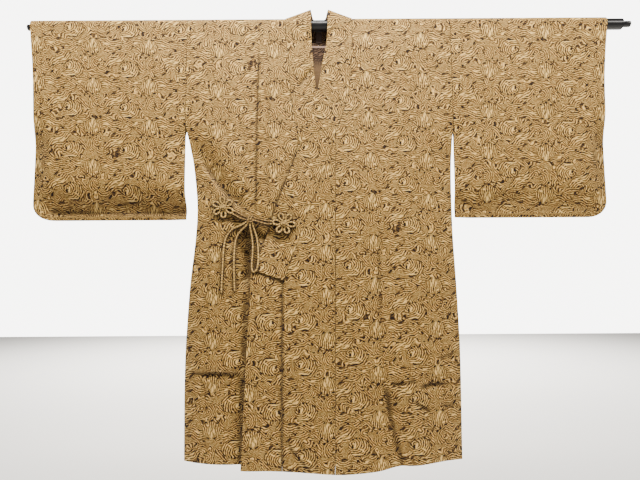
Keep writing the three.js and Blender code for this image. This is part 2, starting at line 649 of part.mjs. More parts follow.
// Flower knot: a domed button ringed by loops of cord, its plane turned to face -Y.
// It lies on the highest point of the cloth below it, and grow makes its cord thicker for cutting with.
function flowerKnot(flower, grow = 0) {
  const pieces = [];
  const surface = flower.name === 'flower_outer' ? outerLapY : innerLapY;
  const lift = flower.wall / 2 + SEAM_GAP + CORD_RADIUS;
  const rim = PETAL.reach + PETAL.loop;
  let seat = surface(flower.x, flower.z);
  for (let angle = 0; angle < 2 * Math.PI; angle += Math.PI / 6) {
    seat = Math.min(seat, surface(flower.x + rim * Math.cos(angle), flower.z + rim * Math.sin(angle)));
  }
  const y = seat - lift + flower.settle;
  const button = new THREE.SphereGeometry(BUTTON_RADIUS, 10, 6);
  button.scale(1, BUTTON_FLATNESS, 1);
  pieces.push(button.translate(flower.x, y - BUTTON_LIFT, flower.z));
  for (let k = 0; k < PETAL.count; k += 1) {
    const angle = flower.turn + (2 * Math.PI * k) / PETAL.count;
    const petal = new THREE.TorusGeometry(PETAL.loop, CORD_RADIUS + grow, 6, 10);
    petal.scale(PETAL.stretch, 1, 1).rotateX(Math.PI / 2).translate(PETAL.reach, 0, 0).rotateY(-angle);
    pieces.push(petal.translate(flower.x, y, flower.z));
  }
  return join(pieces);
}

// Knot of the half bow: a rounded knob with one turn of cord round its waist
function knotGeometry(grow = 0) {
  const knob = new THREE.SphereGeometry(1, 12, 8).scale(KNOT.wide + grow, KNOT.deep + grow, KNOT.tall + grow);
  const turn = new THREE.TorusGeometry(KNOT.wide * KNOT.turnSize, CORD_RADIUS + grow, 6, 12);
  turn.scale(1, 1.2, 1).rotateX(Math.PI / 2 - KNOT.lean).rotateY(KNOT.lean);
  return join([knob, turn]).translate(KNOT.x, KNOT.y, KNOT.z);
}

// Cord along a hand-placed route, cut back to just clear of the knot and of the flower that it comes from
function cord({ route, from }) {
  const path = new THREE.CatmullRomCurve3(route.map(([x, y, z]) => new THREE.Vector3(x, y, z)));
  const section = new THREE.Shape();
  for (let k = 0; k < CORD_SIDES; k += 1) {
    const angle = (2 * Math.PI * k) / CORD_SIDES;
    const [x, y] = [CORD_RADIUS * Math.cos(angle), CORD_RADIUS * Math.sin(angle)];
    if (k === 0) section.moveTo(x, y);
    else section.lineTo(x, y);
  }
  const steps = Math.max(4, Math.round(path.getLength() / CORD_STEP));
  const tube = new THREE.ExtrudeGeometry(section, { steps, extrudePath: path, bevelEnabled: false });
  let solid = toSolid(tube).subtract(toSolid(knotGeometry(SEAM_GAP)));
  const flower = FLOWERS.find((one) => one.name === from);
  if (flower) solid = solid.subtract(toSolid(flowerKnot(flower, SEAM_GAP)));
  return toGeometry(solid);
}

function rodPiece(fromX, toX, radius) {
  return new THREE.CylinderGeometry(radius, radius, toX - fromX, 32)
    .rotateZ(Math.PI / 2).translate((fromX + toX) / 2, 0, 0);
}

const coat = new THREE.Group();
const looks = {
  crepe: { color: 0xa98a58, roughness: 0.8, metalness: 0 },
  lining: { color: 0x4a3020, roughness: 0.7, metalness: 0 },
  tape: { color: 0x7d6455, roughness: 0.7, metalness: 0 },
  cord: { color: 0x8a6f48, roughness: 0.75, metalness: 0 },
  rod: { color: 0x0d0e10, roughness: 0.35, metalness: 0.4 },
};
function add(name, geometry, look) {
  const mesh = new THREE.Mesh(geometry, new THREE.MeshStandardMaterial(looks[look]));
  mesh.name = name;
  coat.add(mesh);
}

const bodyRight = bodyGrid(-1, innerCollar, INNER_TIP, INNER_HEM_X, HEM_INNER, innerLapY);
const bodyLeft = bodyGrid(1, outerCollar, OKUMI_TIP, OKUMI_HEM_X, HEM_OUTER, outerLapY);
add('body_right', wall(bodyRight, BODY_WALL), 'crepe');
add('body_left', wall(bodyLeft, BODY_WALL), 'crepe');
add('sleeve_right', wall(sleeveGrid(-1), BODY_WALL, true), 'crepe');
add('sleeve_left', wall(sleeveGrid(1), BODY_WALL, true), 'crepe');
const outerSeam = () => BAND_SEAM_X + SEAM_GAP / 2;
const innerFront = (z) => mix(INNER_FRONT_TOP_X, INNER_FRONT_HEM_X, (z - BAND_TOP_Z) / (HEM_Z - BAND_TOP_Z));
const okumiLeft = okumiGrid(
  outerCollar, OKUMI_TIP, OKUMI_HEM_X, outerSeam, HEM_OUTER, outerLapY, OKUMI_COLUMNS.outer);
const okumiRight = okumiGrid(
  innerCollar, INNER_TIP, INNER_HEM_X, innerFront, HEM_INNER, innerLapY, OKUMI_COLUMNS.inner);
add('okumi_left', wall(okumiLeft, BODY_WALL), 'crepe');
add('okumi_right', wall(okumiRight, BODY_WALL), 'crepe');
add('front_band_left', wall(bandGrid(), BODY_WALL), 'crepe');
add('collar', wall(collarGrid(), COLLAR_WALL), 'crepe');
add('back_lining', wall(liningGrid(), LINING_WALL), 'lining');
add('neck_tape', wall(tapeGrid(), TAPE_WALL), 'tape');
for (const flower of FLOWERS) add(flower.name, flowerKnot(flower), 'cord');
add('tie_knot', knotGeometry(), 'cord');
for (const [name, course] of Object.entries(CORDS)) add(name, cord(course), 'cord');
add('rod_tube', rodPiece(ROD_RIGHT_X, ROD_LEFT_X, ROD_RADIUS), 'rod');
add('rod_end_right', rodPiece(ROD_TIP_RIGHT_X, ROD_RIGHT_X - SEAM_GAP, ROD_END_RADIUS), 'rod');
add('rod_end_left', rodPiece(ROD_LEFT_X + SEAM_GAP, ROD_TIP_LEFT_X, ROD_END_RADIUS), 'rod');

export default coat;
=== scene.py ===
# A lined kimono travelling coat of printed crepe, tied at the side, hung on a black steel rod.
# Metres. The front faces -Y, +Z is up, and the viewer's right is +X, which is the wearer's left.
import bmesh
import bpy
import math
import numpy as np
from mathutils import Matrix, Vector


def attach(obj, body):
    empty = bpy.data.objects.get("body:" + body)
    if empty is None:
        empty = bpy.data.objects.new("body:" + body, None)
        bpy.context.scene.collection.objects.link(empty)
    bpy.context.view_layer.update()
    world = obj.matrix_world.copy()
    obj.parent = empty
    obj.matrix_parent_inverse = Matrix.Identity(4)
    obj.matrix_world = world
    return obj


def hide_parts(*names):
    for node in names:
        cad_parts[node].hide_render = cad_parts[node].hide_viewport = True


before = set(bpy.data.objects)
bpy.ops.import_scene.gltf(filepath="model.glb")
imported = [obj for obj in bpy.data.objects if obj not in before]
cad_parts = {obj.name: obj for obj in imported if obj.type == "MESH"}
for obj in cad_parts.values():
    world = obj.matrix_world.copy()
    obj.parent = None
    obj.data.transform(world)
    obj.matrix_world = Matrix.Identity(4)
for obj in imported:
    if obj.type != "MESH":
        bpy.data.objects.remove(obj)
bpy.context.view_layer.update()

# Camera at the photograph's place
IMAGE_WIDTH = 640
FOCAL_PIXELS = 490
SENSOR = 36.0
CAMERA_PLACE = (0, -1.088, -0.608)
CAMERA_TILT = 95.6
CAMERA_ROLL = -0.35
camera_data = bpy.data.cameras.new("camera")
camera_data.sensor_width = SENSOR
camera_data.lens = FOCAL_PIXELS / IMAGE_WIDTH * SENSOR
camera = bpy.data.objects.new("camera", camera_data)
bpy.context.scene.collection.objects.link(camera)
look_up = Matrix.Rotation(math.radians(CAMERA_TILT), 4, "X")
roll = Matrix.Rotation(math.radians(CAMERA_ROLL), 4, "Z")
camera.matrix_world = Matrix.Translation(CAMERA_PLACE) @ look_up @ roll
bpy.context.scene.camera = camera

# Walls, rod and seams, as in the solid model
BODY_WALL = 0.002
COLLAR_WALL = 0.003
LINING_WALL = 0.0012
TAPE_WALL = 0.001
SEAM_GAP = 0.0003
ROD_RADIUS = 0.0125
ROD_END_RADIUS = 0.007
OVER_ROD = 0.01395
COLLAR_OVER_ROD = 0.01445
FREE_OF_ROD_Z = -0.060
CORD_RADIUS = 0.0022

# Outline of the body and its laps
ARMHOLE_X = 0.302
NECK_HALF = 0.077
NECK_DROP = 0.041
OKUMI_TIP = (0.036, -0.268)
OKUMI_HEM_X = 0.028
OKUMI_BELOW_TIP = 0.007
INNER_TIP = (-0.048, -0.268)
INNER_HEM_X = -0.040
LAP_EDGE_TOP_X = -0.146
LAP_EDGE_HEM_X = -0.164
BAND_SEAM_X = -0.080
BAND_TOP_Z = -0.592
HEM_Z = -0.975
HEM_FROM_Z = -0.560
LAP_EDGE_FOOT_Z = -0.979
OUTER_EDGE_X = BAND_SEAM_X + SEAM_GAP / 2
INNER_EDGE_TOP_X = 0.140
INNER_EDGE_HEM_X = 0.158
SIDE_ROUNDING = 5

# How far the outer lap stands off the inner one, and where it comes down to the same level
LAP = {"half": 0.0025, "from_z": -0.005, "full_z": -0.070, "end_x": 0.175, "fade": 0.055}
LAP_EDGE_LIFT = {"by": 0.006, "reach": 0.070, "from_z": -0.500, "full_z": -0.640}

# Sleeves: foot, rounded corner, closed part of the cuff, hollow above the foot and the strength of its
# painted shade, mouth at the armhole
SLEEVE_FOOT_Z = -0.452
SLEEVE_CORNER = 0.038
CUFF_CLOSING = {"reach": 0.045, "from_z": -0.212, "full_z": -0.292}
SLEEVE_CLOSED_HALF = 0.00102
SLEEVE_HOLLOW = {"right": 0.024, "left": 0.010, "above": 0.030, "below": 0.024, "z": -0.434, "end": 0.14}
HOLLOW_ON_BACK = 0.56
HOLLOW_SHADE = 17.0
HOLLOW_PEAK = {"x": 0.440, "width": 0.050, "rise": 0.012}
SLEEVE_MOUTH = {"y": -0.008, "from_z": -0.226, "full_z": -0.270, "reach": 0.042}
SLEEVE_CREASES_ON = {"right": 1, "left": 0.6, "back": 0.8}

# Collar: lift of its end on the left front, of the end's outer corner and of its free edge
COLLAR_END_LIFT = {"by": 0.0016, "corner": 0.0022, "reach": 0.030}
COLLAR_EDGE_LIFT = {"by": 0.0022, "from_z": -0.12, "full_z": -0.22}
COLLAR_ROLL = {"y": -0.020, "from_z": -0.056}

# Widths and lengths of the pieces, over which their points are spread
BODY_WIDE = 0.242
OKUMI_WIDE = {"outer": 0.108, "inner": 0.190}
BAND_WIDE = 0.080
BAND_LONG = 0.390
SLEEVE_WIDE = 0.350
COLLAR_WIDE = 0.065
LINING_WIDE = 0.100
LINING_LONG = 0.142

# Spacing of the points on the cloth, and of those next to an edge
FINE = 0.003
COARSE = 0.006
EDGE = 0.0022
EDGE_ROUNDING = 0.14
ROD_TURN = np.radians(np.linspace(-90, 90, 17))[:, None]

# Painted shade in the creases, along the seams and at the rims, and painted shadow beside what lies on the
# cloth, with how far each reaches
CREASE_STRENGTH = 2.3
CREASE_REACH = 2
CREASE_FULL = 0.0015
CREASE_SHADE = 0.75
PAINTED_SHADE_DARKNESS = 0.82
SEAM_SHADE = 0.6
SHADE_REACH = {"tie": 0.0056, "end": 0.0042, "seam": 0.0034, "lap": 0.0058, "all": 0.014}
SHADE_SHIFT = {"x": -0.0010, "z": -0.0020, "front_y": -0.012}
MARK_STEP = 0.002
MARK_BESIDE = 0.001
PETAL_MARKS = 12


def table(columns, *rows):
    """Named columns of numbers"""
    return {name: np.array([row[k] for row in rows], float) for k, name in enumerate(columns.split())}


LEVELS = table(
    "z front side back gap",
    (0.020, -OVER_ROD, 0, OVER_ROD, OVER_ROD),
    (0.000, -OVER_ROD, 0, OVER_ROD, OVER_ROD),
    (-0.060, -0.017, 0, 0.0145, 0.0146),
    (-0.140, -0.020, 0, 0.013, 0.015),
    (-0.233, -0.026, -0.001, 0.011, 0.013),
    (-0.330, -0.032, -0.003, 0.008, 0.0013),
    (-0.480, -0.040, -0.008, 0.002, 0.0012),
    (-0.640, -0.048, -0.014, -0.007, 0.0012),
    (-0.780, -0.053, -0.019, -0.015, 0.0012),
    (-0.880, -0.050, -0.018, -0.014, 0.0012),
    (-1.010, -0.048, -0.016, -0.011, 0.0012),
)
WIDTHS = table(
    "z right left",
    (0.020, 0.302, 0.302),
    (-0.233, 0.302, 0.302),
    (-0.285, 0.292, 0.299),
    (-0.341, 0.282, 0.296),
    (-0.430, 0.273, 0.294),
    (-0.500, 0.275, 0.294),
    (-0.600, 0.284, 0.297),
    (-0.720, 0.289, 0.299),
    (-0.830, 0.290, 0.298),
    (-1.010, 0.288, 0.296),
)
HEM_OUTER = table(
    "x z",
    (-0.170, -0.976), (-0.080, -0.979), (0.034, -0.986), (0.109, -0.981),
    (0.170, -0.972), (0.256, -0.966), (0.300, -0.967),
)
HEM_INNER = table("x z", (-0.300, -0.967), (-0.168, -0.969), (0.000, -0.971), (0.190, -0.971))
HEM_BACK = table(
    "x z", (-0.300, -0.967), (-0.120, -0.972), (0.000, -0.970), (0.140, -0.973), (0.300, -0.967),
)

# Folds: from x, from z, to x, to z, depth, width on one side, width on the other, bend.
# The tables of folds are in the solid model too, those of creases hold the fine ones.
FRONT_FOLDS = [
    (-0.290, -0.262, -0.148, -0.462, 0.010, 0.020, 0.020, 0),
    (-0.262, -0.232, -0.140, -0.425, -0.005, 0.024, 0.024, 0),
    (-0.128, -0.020, -0.133, -0.460, -0.003, 0.020, 0.020, 0),
    (-0.225, -0.492, -0.060, -0.496, 0.006, 0.022, 0.022, 0),
    (-0.176, -0.520, -0.190, -1.040, 0.004, 0.022, 0.022, 0),
    (-0.330, -0.772, -0.130, -0.772, -0.005, 0.026, 0.026, 0),
    (-0.330, -0.812, -0.130, -0.806, 0.005, 0.022, 0.022, 0),
    (0.124, -0.440, 0.128, -0.830, 0.004, 0.026, 0.026, 0),
    (0.122, -0.760, 0.170, -1.060, 0.009, 0.026, 0.026, 0),
    (0.170, -0.760, 0.226, -1.060, -0.005, 0.030, 0.030, 0),
    (0.190, -0.812, 0.330, -0.800, 0.004, 0.020, 0.020, 0),
]
FRONT_CREASES = [
    (-0.1315, -0.070, -0.133, -0.456, -0.0034, 0.003, 0.014, 0.001),
    (-0.138, -0.030, -0.141, -0.450, 0.0016, 0.004, 0.010, -0.001),
    (-0.302, -0.262, -0.178, -0.438, 0.0042, 0.006, 0.012, 0.004),
    (-0.279, -0.345, -0.205, -0.450, 0.0022, 0.006, 0.010, -0.005),
    (-0.246, -0.262, -0.150, -0.398, 0.0007, 0.008, 0.010, 0.006),
    (0.128, -0.460, 0.124, -0.800, 0.0005, 0.005, 0.012, 0.003),
    (0.134, -0.806, 0.170, -0.985, 0.0033, 0.005, 0.010, 0.004),
    (0.244, -0.758, 0.294, -0.742, 0.0026, 0.006, 0.006, 0.002),
    (0.196, -0.817, 0.292, -0.812, 0.0030, 0.005, 0.008, -0.003),
    (0.186, -0.835, 0.232, -0.868, 0.0028, 0.005, 0.008, 0.003),
    (0.244, -0.851, 0.288, -0.856, 0.0022, 0.005, 0.007, 0.002),
    (0.139, -0.808, 0.202, -0.799, 0.0026, 0.005, 0.008, 0.003),
    (-0.064, -0.915, -0.014, -0.976, -0.0026, 0.005, 0.008, 0.002),
    (0.010, -0.330, 0.060, -0.960, 0.0012, 0.020, 0.026, 0.010),
    (0.210, -0.060, 0.232, -0.560, 0.0012, 0.018, 0.024, 0.008),
    (-0.236, -0.590, -0.246, -0.975, 0.0016, 0.014, 0.020, -0.005),
    (-0.016, -0.108, -0.046, -0.156, 0.0018, 0.004, 0.006, 0.001),
]
UNDER_LAP_CREASES = [
    (-0.162, -0.458, -0.153, -0.618, 0.0220, 0.020, 0.012, 0),
    (-0.215, -0.452, -0.150, -0.476, 0.0050, 0.010, 0.014, 0),
    (-0.157, -0.786, -0.290, -0.788, 0.0060, 0.006, 0.010, 0.003),
    (-0.161, -0.745, -0.163, -0.800, -0.0025, 0.008, 0.008, 0),
    (-0.155, -0.540, -0.171, -1.060, 0.0070, 0.013, 0.012, 0),
]
BACK_FOLDS = [
    (0.292, -0.262, 0.176, -0.420, 0.006, 0.024, 0.024, 0),
    (-0.290, -0.262, -0.188, -0.400, 0.006, 0.024, 0.024, 0),
    (0.168, -0.360, 0.150, -1.060, 0.006, 0.030, 0.030, 0),
    (0.108, -0.420, 0.088, -1.060, -0.004, 0.030, 0.030, 0),
    (-0.150, -0.420, -0.172, -1.060, 0.005, 0.032, 0.032, 0),
]
BACK_CREASES = [
    (0.150, -0.090, 0.154, -0.520, -0.0010, 0.012, 0.005, 0.002),
    (-0.150, -0.060, -0.153, -0.460, -0.0012, 0.005, 0.012, -0.002),
    (0.286, -0.300, 0.200, -0.430, 0.0022, 0.008, 0.010, 0.005),
    (-0.284, -0.300, -0.205, -0.425, 0.0022, 0.008, 0.010, -0.005),
    (0.040, -0.692, 0.250, -0.742, 0.0015, 0.010, 0.016, 0.008),
    (-0.270, -0.712, -0.070, -0.752, 0.0014, 0.011, 0.016, -0.008),
    (0.030, -0.796, 0.190, -0.817, 0.0011, 0.010, 0.014, 0.006),
    (-0.225, -0.862, -0.110, -0.908, 0.0011, 0.010, 0.014, 0.006),
    (0.012, -0.380, 0.014, -0.960, 0.0012, 0.010, 0.016, 0.003),
    (-0.240, -0.560, -0.248, -0.970, 0.0016, 0.016, 0.020, 0.004),
    (0.236, -0.600, 0.246, -0.970, 0.0016, 0.016, 0.020, -0.004),
]

SLEEVE_EDGE = table(
    "z x", (0.020, 0.666), (0, 0.665), (-0.080, 0.655), (-0.160, 0.648), (-0.300, 0.644), (-0.460, 0.644),
)
SLEEVE_LEVELS = table(
    "z front back",
    (0, -OVER_ROD, OVER_ROD),
    (-0.060, -0.0146, 0.0146),
    (-0.140, -0.015, 0.0144),
    (-0.233, -0.0145, 0.013),
    (-0.320, -0.0135, 0.011),
    (-0.390, -0.012, 0.0095),
    (-0.425, -0.009, 0.009),
    (-0.444, -0.008, 0.007),
)
SLEEVE_CREASES = [
    (0.310, -0.395, 0.470, -0.414, 0.0022, 0.006, 0.010, 0.004),
    (0.470, -0.380, 0.640, -0.408, 0.0018, 0.007, 0.010, 0.004),
    (0.330, -0.428, 0.610, -0.426, -0.0012, 0.005, 0.008, 0.002),
    (0.640, -0.060, 0.560, -0.240, 0.0012, 0.014, 0.018, 0.008),
    (0.350, -0.080, 0.370, -0.380, 0.0010, 0.016, 0.022, 0.006),
    (0.478, -0.050, 0.484, -0.400, -0.0008, 0.010, 0.016, 0.003),
]

COLLAR_INNER = table(
    "free_x free_z sewn_x sewn_z",
    (0.128, -0.571, 0.065, -0.593),
    (0.095, -0.465, 0.030, -0.487),
    (0.070, -0.388, 0.005, -0.410),
    (0.034, -0.303, -0.031, -0.325),
    (0.012, -0.244, -0.048, -0.268),
    (-0.005, -0.167, -0.062, -0.188),
    (-0.013, -0.091, -0.068, -0.100),
    (-0.016, -0.050, -0.073, -0.056),
    (-0.017, -0.004, -0.077, 0.000),
)
COLLAR_OUTER = table(
    "free_x free_z sewn_x sewn_z",
    (-0.140, -0.570, -0.077, -0.592),
    (-0.105, -0.465, -0.040, -0.488),
    (-0.078, -0.388, -0.013, -0.411),
    (-0.046, -0.303, 0.019, -0.326),
    (-0.027, -0.246, 0.036, -0.268),
    (-0.004, -0.165, 0.062, -0.188),
    (0.009, -0.091, 0.073, -0.104),
    (0.017, -0.050, 0.076, -0.056),
    (0.020, -0.004, 0.077, 0.000),
)
NECK_ROD_STEP = 8
NECK_NAPE_STEP = 11
NECK_ROWS = table(
    "step free_x free_y free_z",
    (0, 0.017, -0.020, -0.004),
    (2, 0.018, -0.016, 0.024),
    (4, 0.018, -0.004, 0.036),
    (6, 0.016, 0.008, 0.034),
    (8, 0.013, 0.016, 0.026),
    (11, 0.000, 0.0215, 0.011),
)
NECK_LEAN = 1.18
LINING = {"half": 0.050, "foot": -0.185}
TAPE = {"width": 0.014, "foot": -0.035, "top": -0.002}

# Flower knots: heart, turn, the wall they lie on, and how far they sink into it on a slope
FLOWERS = {
    "flower_inner": {"place": (-0.211, -0.432), "turn": -0.44, "wall": BODY_WALL, "settle": 0.0012},
    "flower_outer": {"place": (-0.077, -0.470), "turn": -0.14, "wall": COLLAR_WALL, "settle": 0},
}
# Petals of the solid model, and the loops of cord that lie on them here
PETALS = 6
PETAL_REACH = 0.0155
PETAL_LOOP = 0.0062
PETAL_STRETCH = 1.35
PETAL_TAPER = 0.30
PETAL_CORD = {"reach": 0.0152, "loop": 0.0058, "radius": 0.0027, "lift": -0.0010}
# Turns of cord in the button of a flower: radius of the ring, lift and radius of the cord
BUTTON_CORDS = [(0.0052, -0.0034, 0.0023), (0.0016, -0.0054, 0.0024)]

# Knot of the half bow: its heart, and its turns with their shift, lean, width and height
KNOT = (-0.150, -0.0425, -0.460)
KNOT_TURNS = [(-0.0040, 0.25, 0.0042, 0.0066), (0.0016, 0.45, 0.0044, 0.0070)]
KNOT_CORE_RADIUS = 0.0038

# A cord's mesh: sides round it, spacing along it, and the way that its crest, which gets a painted highlight,
# faces
CORD_SIDES = 12
CORD_STEP = 0.0016
CORD_FACES = (0.15, -1.0, 0.1)

# Routes of the cords, as they hang in the photograph
CORDS = {
    "tie_strand_1": [
        (-0.191, -0.0318, -0.4385), (-0.182, -0.0338, -0.442), (-0.171, -0.037, -0.4485),
        (-0.157, -0.0415, -0.456),
    ],
    "tie_strand_2": [
        (-0.1925, -0.032, -0.4445), (-0.184, -0.0342, -0.4495), (-0.173, -0.038, -0.456),
        (-0.158, -0.042, -0.461),
    ],
    "tie_strand_3": [
        (-0.0995, -0.0456, -0.464), (-0.110, -0.0468, -0.4645), (-0.126, -0.045, -0.461),
        (-0.143, -0.0425, -0.4565),
    ],
    "tie_strand_4": [
        (-0.100, -0.0456, -0.470), (-0.112, -0.0472, -0.471), (-0.127, -0.046, -0.467),
        (-0.1435, -0.0435, -0.4615),
    ],
    "tie_tail_1": [
        (-0.1545, -0.042, -0.4625), (-0.166, -0.042, -0.4705), (-0.177, -0.039, -0.475),
        (-0.188, -0.0358, -0.4795), (-0.197, -0.0344, -0.488), (-0.2035, -0.035, -0.500),
        (-0.2065, -0.0372, -0.515), (-0.208, -0.0392, -0.540), (-0.2085, -0.0405, -0.565),
        (-0.2095, -0.0418, -0.590), (-0.210, -0.043, -0.617),
    ],
    "tie_tail_2": [
        (-0.152, -0.043, -0.4635), (-0.1585, -0.0432, -0.4735), (-0.167, -0.0395, -0.481),
        (-0.176, -0.036, -0.490), (-0.1815, -0.0358, -0.503), (-0.1833, -0.0382, -0.516),
        (-0.184, -0.040, -0.530), (-0.1843, -0.0412, -0.552), (-0.1835, -0.042, -0.581),
        (-0.182, -0.0426, -0.613),
    ],
    "tie_loop": [
        (-0.1475, -0.042, -0.4635), (-0.1435, -0.041, -0.476), (-0.1395, -0.040, -0.488),
        (-0.136, -0.0395, -0.500), (-0.1335, -0.042, -0.515), (-0.1318, -0.046, -0.530),
        (-0.131, -0.051, -0.545), (-0.132, -0.0534, -0.560), (-0.136, -0.054, -0.571),
        (-0.141, -0.0533, -0.5735), (-0.1445, -0.0508, -0.566), (-0.1453, -0.0475, -0.554),
        (-0.1445, -0.044, -0.538), (-0.1443, -0.0415, -0.518), (-0.146, -0.0405, -0.500),
        (-0.1485, -0.042, -0.486), (-0.150, -0.0448, -0.475), (-0.150, -0.0435, -0.4635),
    ],
}


def clamp(value):
    return np.clip(value, 0, 1)


def smooth(start, end, value):
    t = clamp((value - start) / (end - start))
    return t * t * (3 - 2 * t)


def mix(a, b, t):
    return a + (b - a) * t


def read(rows, key, value, column):
    """Smooth reading of one column of a table between its rows"""
    keys, data = rows[key], rows[column]
    if keys[-1] < keys[0]:
        keys, data = keys[::-1], data[::-1]
    slopes = np.empty(len(keys))
    slopes[1:-1] = (data[2:] - data[:-2]) / (keys[2:] - keys[:-2])
    slopes[0] = (data[1] - data[0]) / (keys[1] - keys[0])
    slopes[-1] = (data[-1] - data[-2]) / (keys[-1] - keys[-2])
    value = np.asarray(value, float)
    at = np.clip(np.searchsorted(keys, value) - 1, 0, len(keys) - 2)
    span = keys[at + 1] - keys[at]
    t = clamp((value - keys[at]) / span)
    ends = data[at] * (2 * t**3 - 3 * t**2 + 1) + data[at + 1] * (3 * t**2 - 2 * t**3)
    return ends + span * (slopes[at] * (t**3 - 2 * t**2 + t) + slopes[at + 1] * (t**3 - t**2))


def fold_depth(folds, x, z):
    """How far the folds of a table move the cloth at a point. A bent fold is uneven along its run."""
    total = np.zeros(np.broadcast(x, z).shape)
    for from_x, from_z, to_x, to_z, depth, width, other_width, bend in folds:
        run_x, run_z = to_x - from_x, to_z - from_z
        length = math.hypot(run_x, run_z)
        along = ((x - from_x) * run_x + (z - from_z) * run_z) / length**2
        across = ((x - from_x) * run_z - (z - from_z) * run_x) / length
        across = across - bend * 4 * along * (1 - along)
        uneven = 1 + 0.25 * np.sin(along * 7.3 + from_x * 90) if bend else 1
        ends = smooth(-0.02, 0.25, along) * smooth(1.02, 0.75, along)
        half = np.where(across > 0, width, other_width)
        total = total + depth * ends * uneven * np.exp(-((across / half) ** 2))
    return total


# Slow, slight waves that no cloth hangs without: height, turns along x, turns along z, start
SLOW_WAVES = [(0.0007, 21, 8, 1.0), (0.0006, 37, -19, 2.2), (0.0004, 11, 43, 0.4), (0.0003, 64, 29, 0)]


def unevenness(x, z):
    """How far the slow waves move the cloth at a point"""
    return sum(height * np.sin(by_x * x + by_z * z + start) for height, by_x, by_z, start in SLOW_WAVES)


def off_rod(z):
    """From 0 where the cloth lies on the rod to 1 where it hangs free of it"""
    return smooth(0, FREE_OF_ROD_Z, z)


def half_width(x, z):
    """Distance of the side seam from the middle, on the side on which x is"""
    return np.minimum(ARMHOLE_X, np.where(x < 0, read(WIDTHS, "z", z, "right"), read(WIDTHS, "z", z, "left")))


def lens_y(x, z, face, folds, creases, outward):
    """Front or back of the body: flat at the side seams, furthest out in the middle"""
    reach = clamp(np.abs(x) / half_width(x, z))
    opened = 1 - reach**SIDE_ROUNDING
    edge = read(LEVELS, "z", z, "side") + outward * read(LEVELS, "z", z, "gap")
    middle = read(LEVELS, "z", z, face)
    depth = fold_depth(folds, x, z) + CREASE_STRENGTH * fold_depth(creases, x, z) + unevenness(x, outward * z)
    return mix(edge, middle, opened) - outward * depth * opened * off_rod(z)


def front_y(x, z):
    return lens_y(x, z, "front", FRONT_FOLDS, FRONT_CREASES, -1)


def back_y(x, z):
    return lens_y(x, z, "back", BACK_FOLDS, BACK_CREASES, 1)


def lap_depth(z):
    return LAP["half"] * smooth(LAP["from_z"], LAP["full_z"], z)


def inner_lap_y(x, z):
    """Right front, which lies under the left one"""
    under = fold_depth(UNDER_LAP_CREASES, x, z) * off_rod(z)
    return front_y(x, z) + lap_depth(z) * smooth(-LAP["end_x"] - LAP["fade"], -LAP["end_x"], x) + under


def lap_edge_x(z):
    return mix(LAP_EDGE_TOP_X, LAP_EDGE_HEM_X, clamp((z - BAND_TOP_Z) / (HEM_Z - BAND_TOP_Z)))


def outer_lap_y(x, z):
    """Left front, whose free edge stands off the right one"""
    lift = LAP_EDGE_LIFT["by"] * smooth(LAP_EDGE_LIFT["reach"], 0, x - lap_edge_x(z))
    lift = lift * smooth(LAP_EDGE_LIFT["from_z"], LAP_EDGE_LIFT["full_z"], z)
    return front_y(x, z) - lap_depth(z) * smooth(LAP["end_x"] + LAP["fade"], LAP["end_x"], x) - lift


def spaced(length, step, edged=True):
    """Places from 0 to 1 along a length, with one more close to each end so that the edge stays crisp"""
    count = max(2, round(length / step))
    places = np.linspace(0, 1, count + 1)
    if not edged:
        return places
    near = min(EDGE / length, 0.3 / count)
    return np.concatenate(([0, near], places[1:-1], [1 - near, 1]))


# Print of the cloth: its repeat is counted in cells from the heart of its eye, so that the places
# of the eyes on each piece are those in the photograph.
REPEAT = (0.126, 0.0915)
UPPER_ROW = 0.0953
ROW_CHANGE_Z = -0.300
SLEEVE_REPEAT = 0.128
RIGHT_SLEEVE_ROW = 0.0944
COLLAR_ROW = 0.0945


def print_rows(z):
    """Repeats of the print above the level where its rows change their spacing"""
    return np.where(z > ROW_CHANGE_Z, (z - ROW_CHANGE_Z) / UPPER_ROW, (z - ROW_CHANGE_Z) / REPEAT[1])


def cloth_map(x, rows, start_x, start_row, width=REPEAT[0], lean=0.0, drop=0.0, turned=False):
    """Place in the print's repeat. A turned piece has the print upside down."""
    across = (x - start_x) / width - lean * (rows - start_row)
    up = rows - start_row - drop * (x - start_x) / width
    sign = -1 if turned else 1
    return np.stack([sign * across, sign * up], axis=-1)


def unit(vectors):
    return vectors / np.maximum(np.linalg.norm(vectors, axis=-1, keepdims=True), 1e-9)


def steps_along(grid, axis, wrapped=False):
    if wrapped:
        return np.roll(grid, -1, axis) - np.roll(grid, 1, axis)
    padded = np.concatenate([np.take(grid, [0], axis), grid, np.take(grid, [-1], axis)], axis)
    count = padded.shape[axis]
    return np.take(padded, range(2, count), axis) - np.take(padded, range(0, count - 2), axis)


def creased(grid, normal, wrapped):
    """How deep each point lies between its neighbours, from 0 to 1, for the painted shade in creases"""
    total = 0
    for axis in (0, 1):
        count = grid.shape[axis]
        places = np.arange(count)
        if wrapped and axis == 0:
            before, after = (places - CREASE_REACH) % count, (places + CREASE_REACH) % count
        else:
            reach = np.minimum(CREASE_REACH, np.minimum(places, count - 1 - places))
            before, after = places - reach, places + reach
        between = (np.take(grid, before, axis) + np.take(grid, after, axis)) / 2
        total = total + np.sum((between - grid) * normal, axis=-1)
    return smooth(0, CREASE_FULL, total)


def marks_along(route, reach):
    """Places close together along a route of x and z, with the reach of their shade"""
    marks = []
    for (from_x, from_z), (to_x, to_z) in zip(route[:-1], route[1:]):
        count = max(1, round(math.hypot(to_x - from_x, to_z - from_z) / MARK_STEP))
        for t in np.arange(count) / count:
            marks.append((mix(from_x, to_x, t), mix(from_z, to_z, t), reach))
    return marks


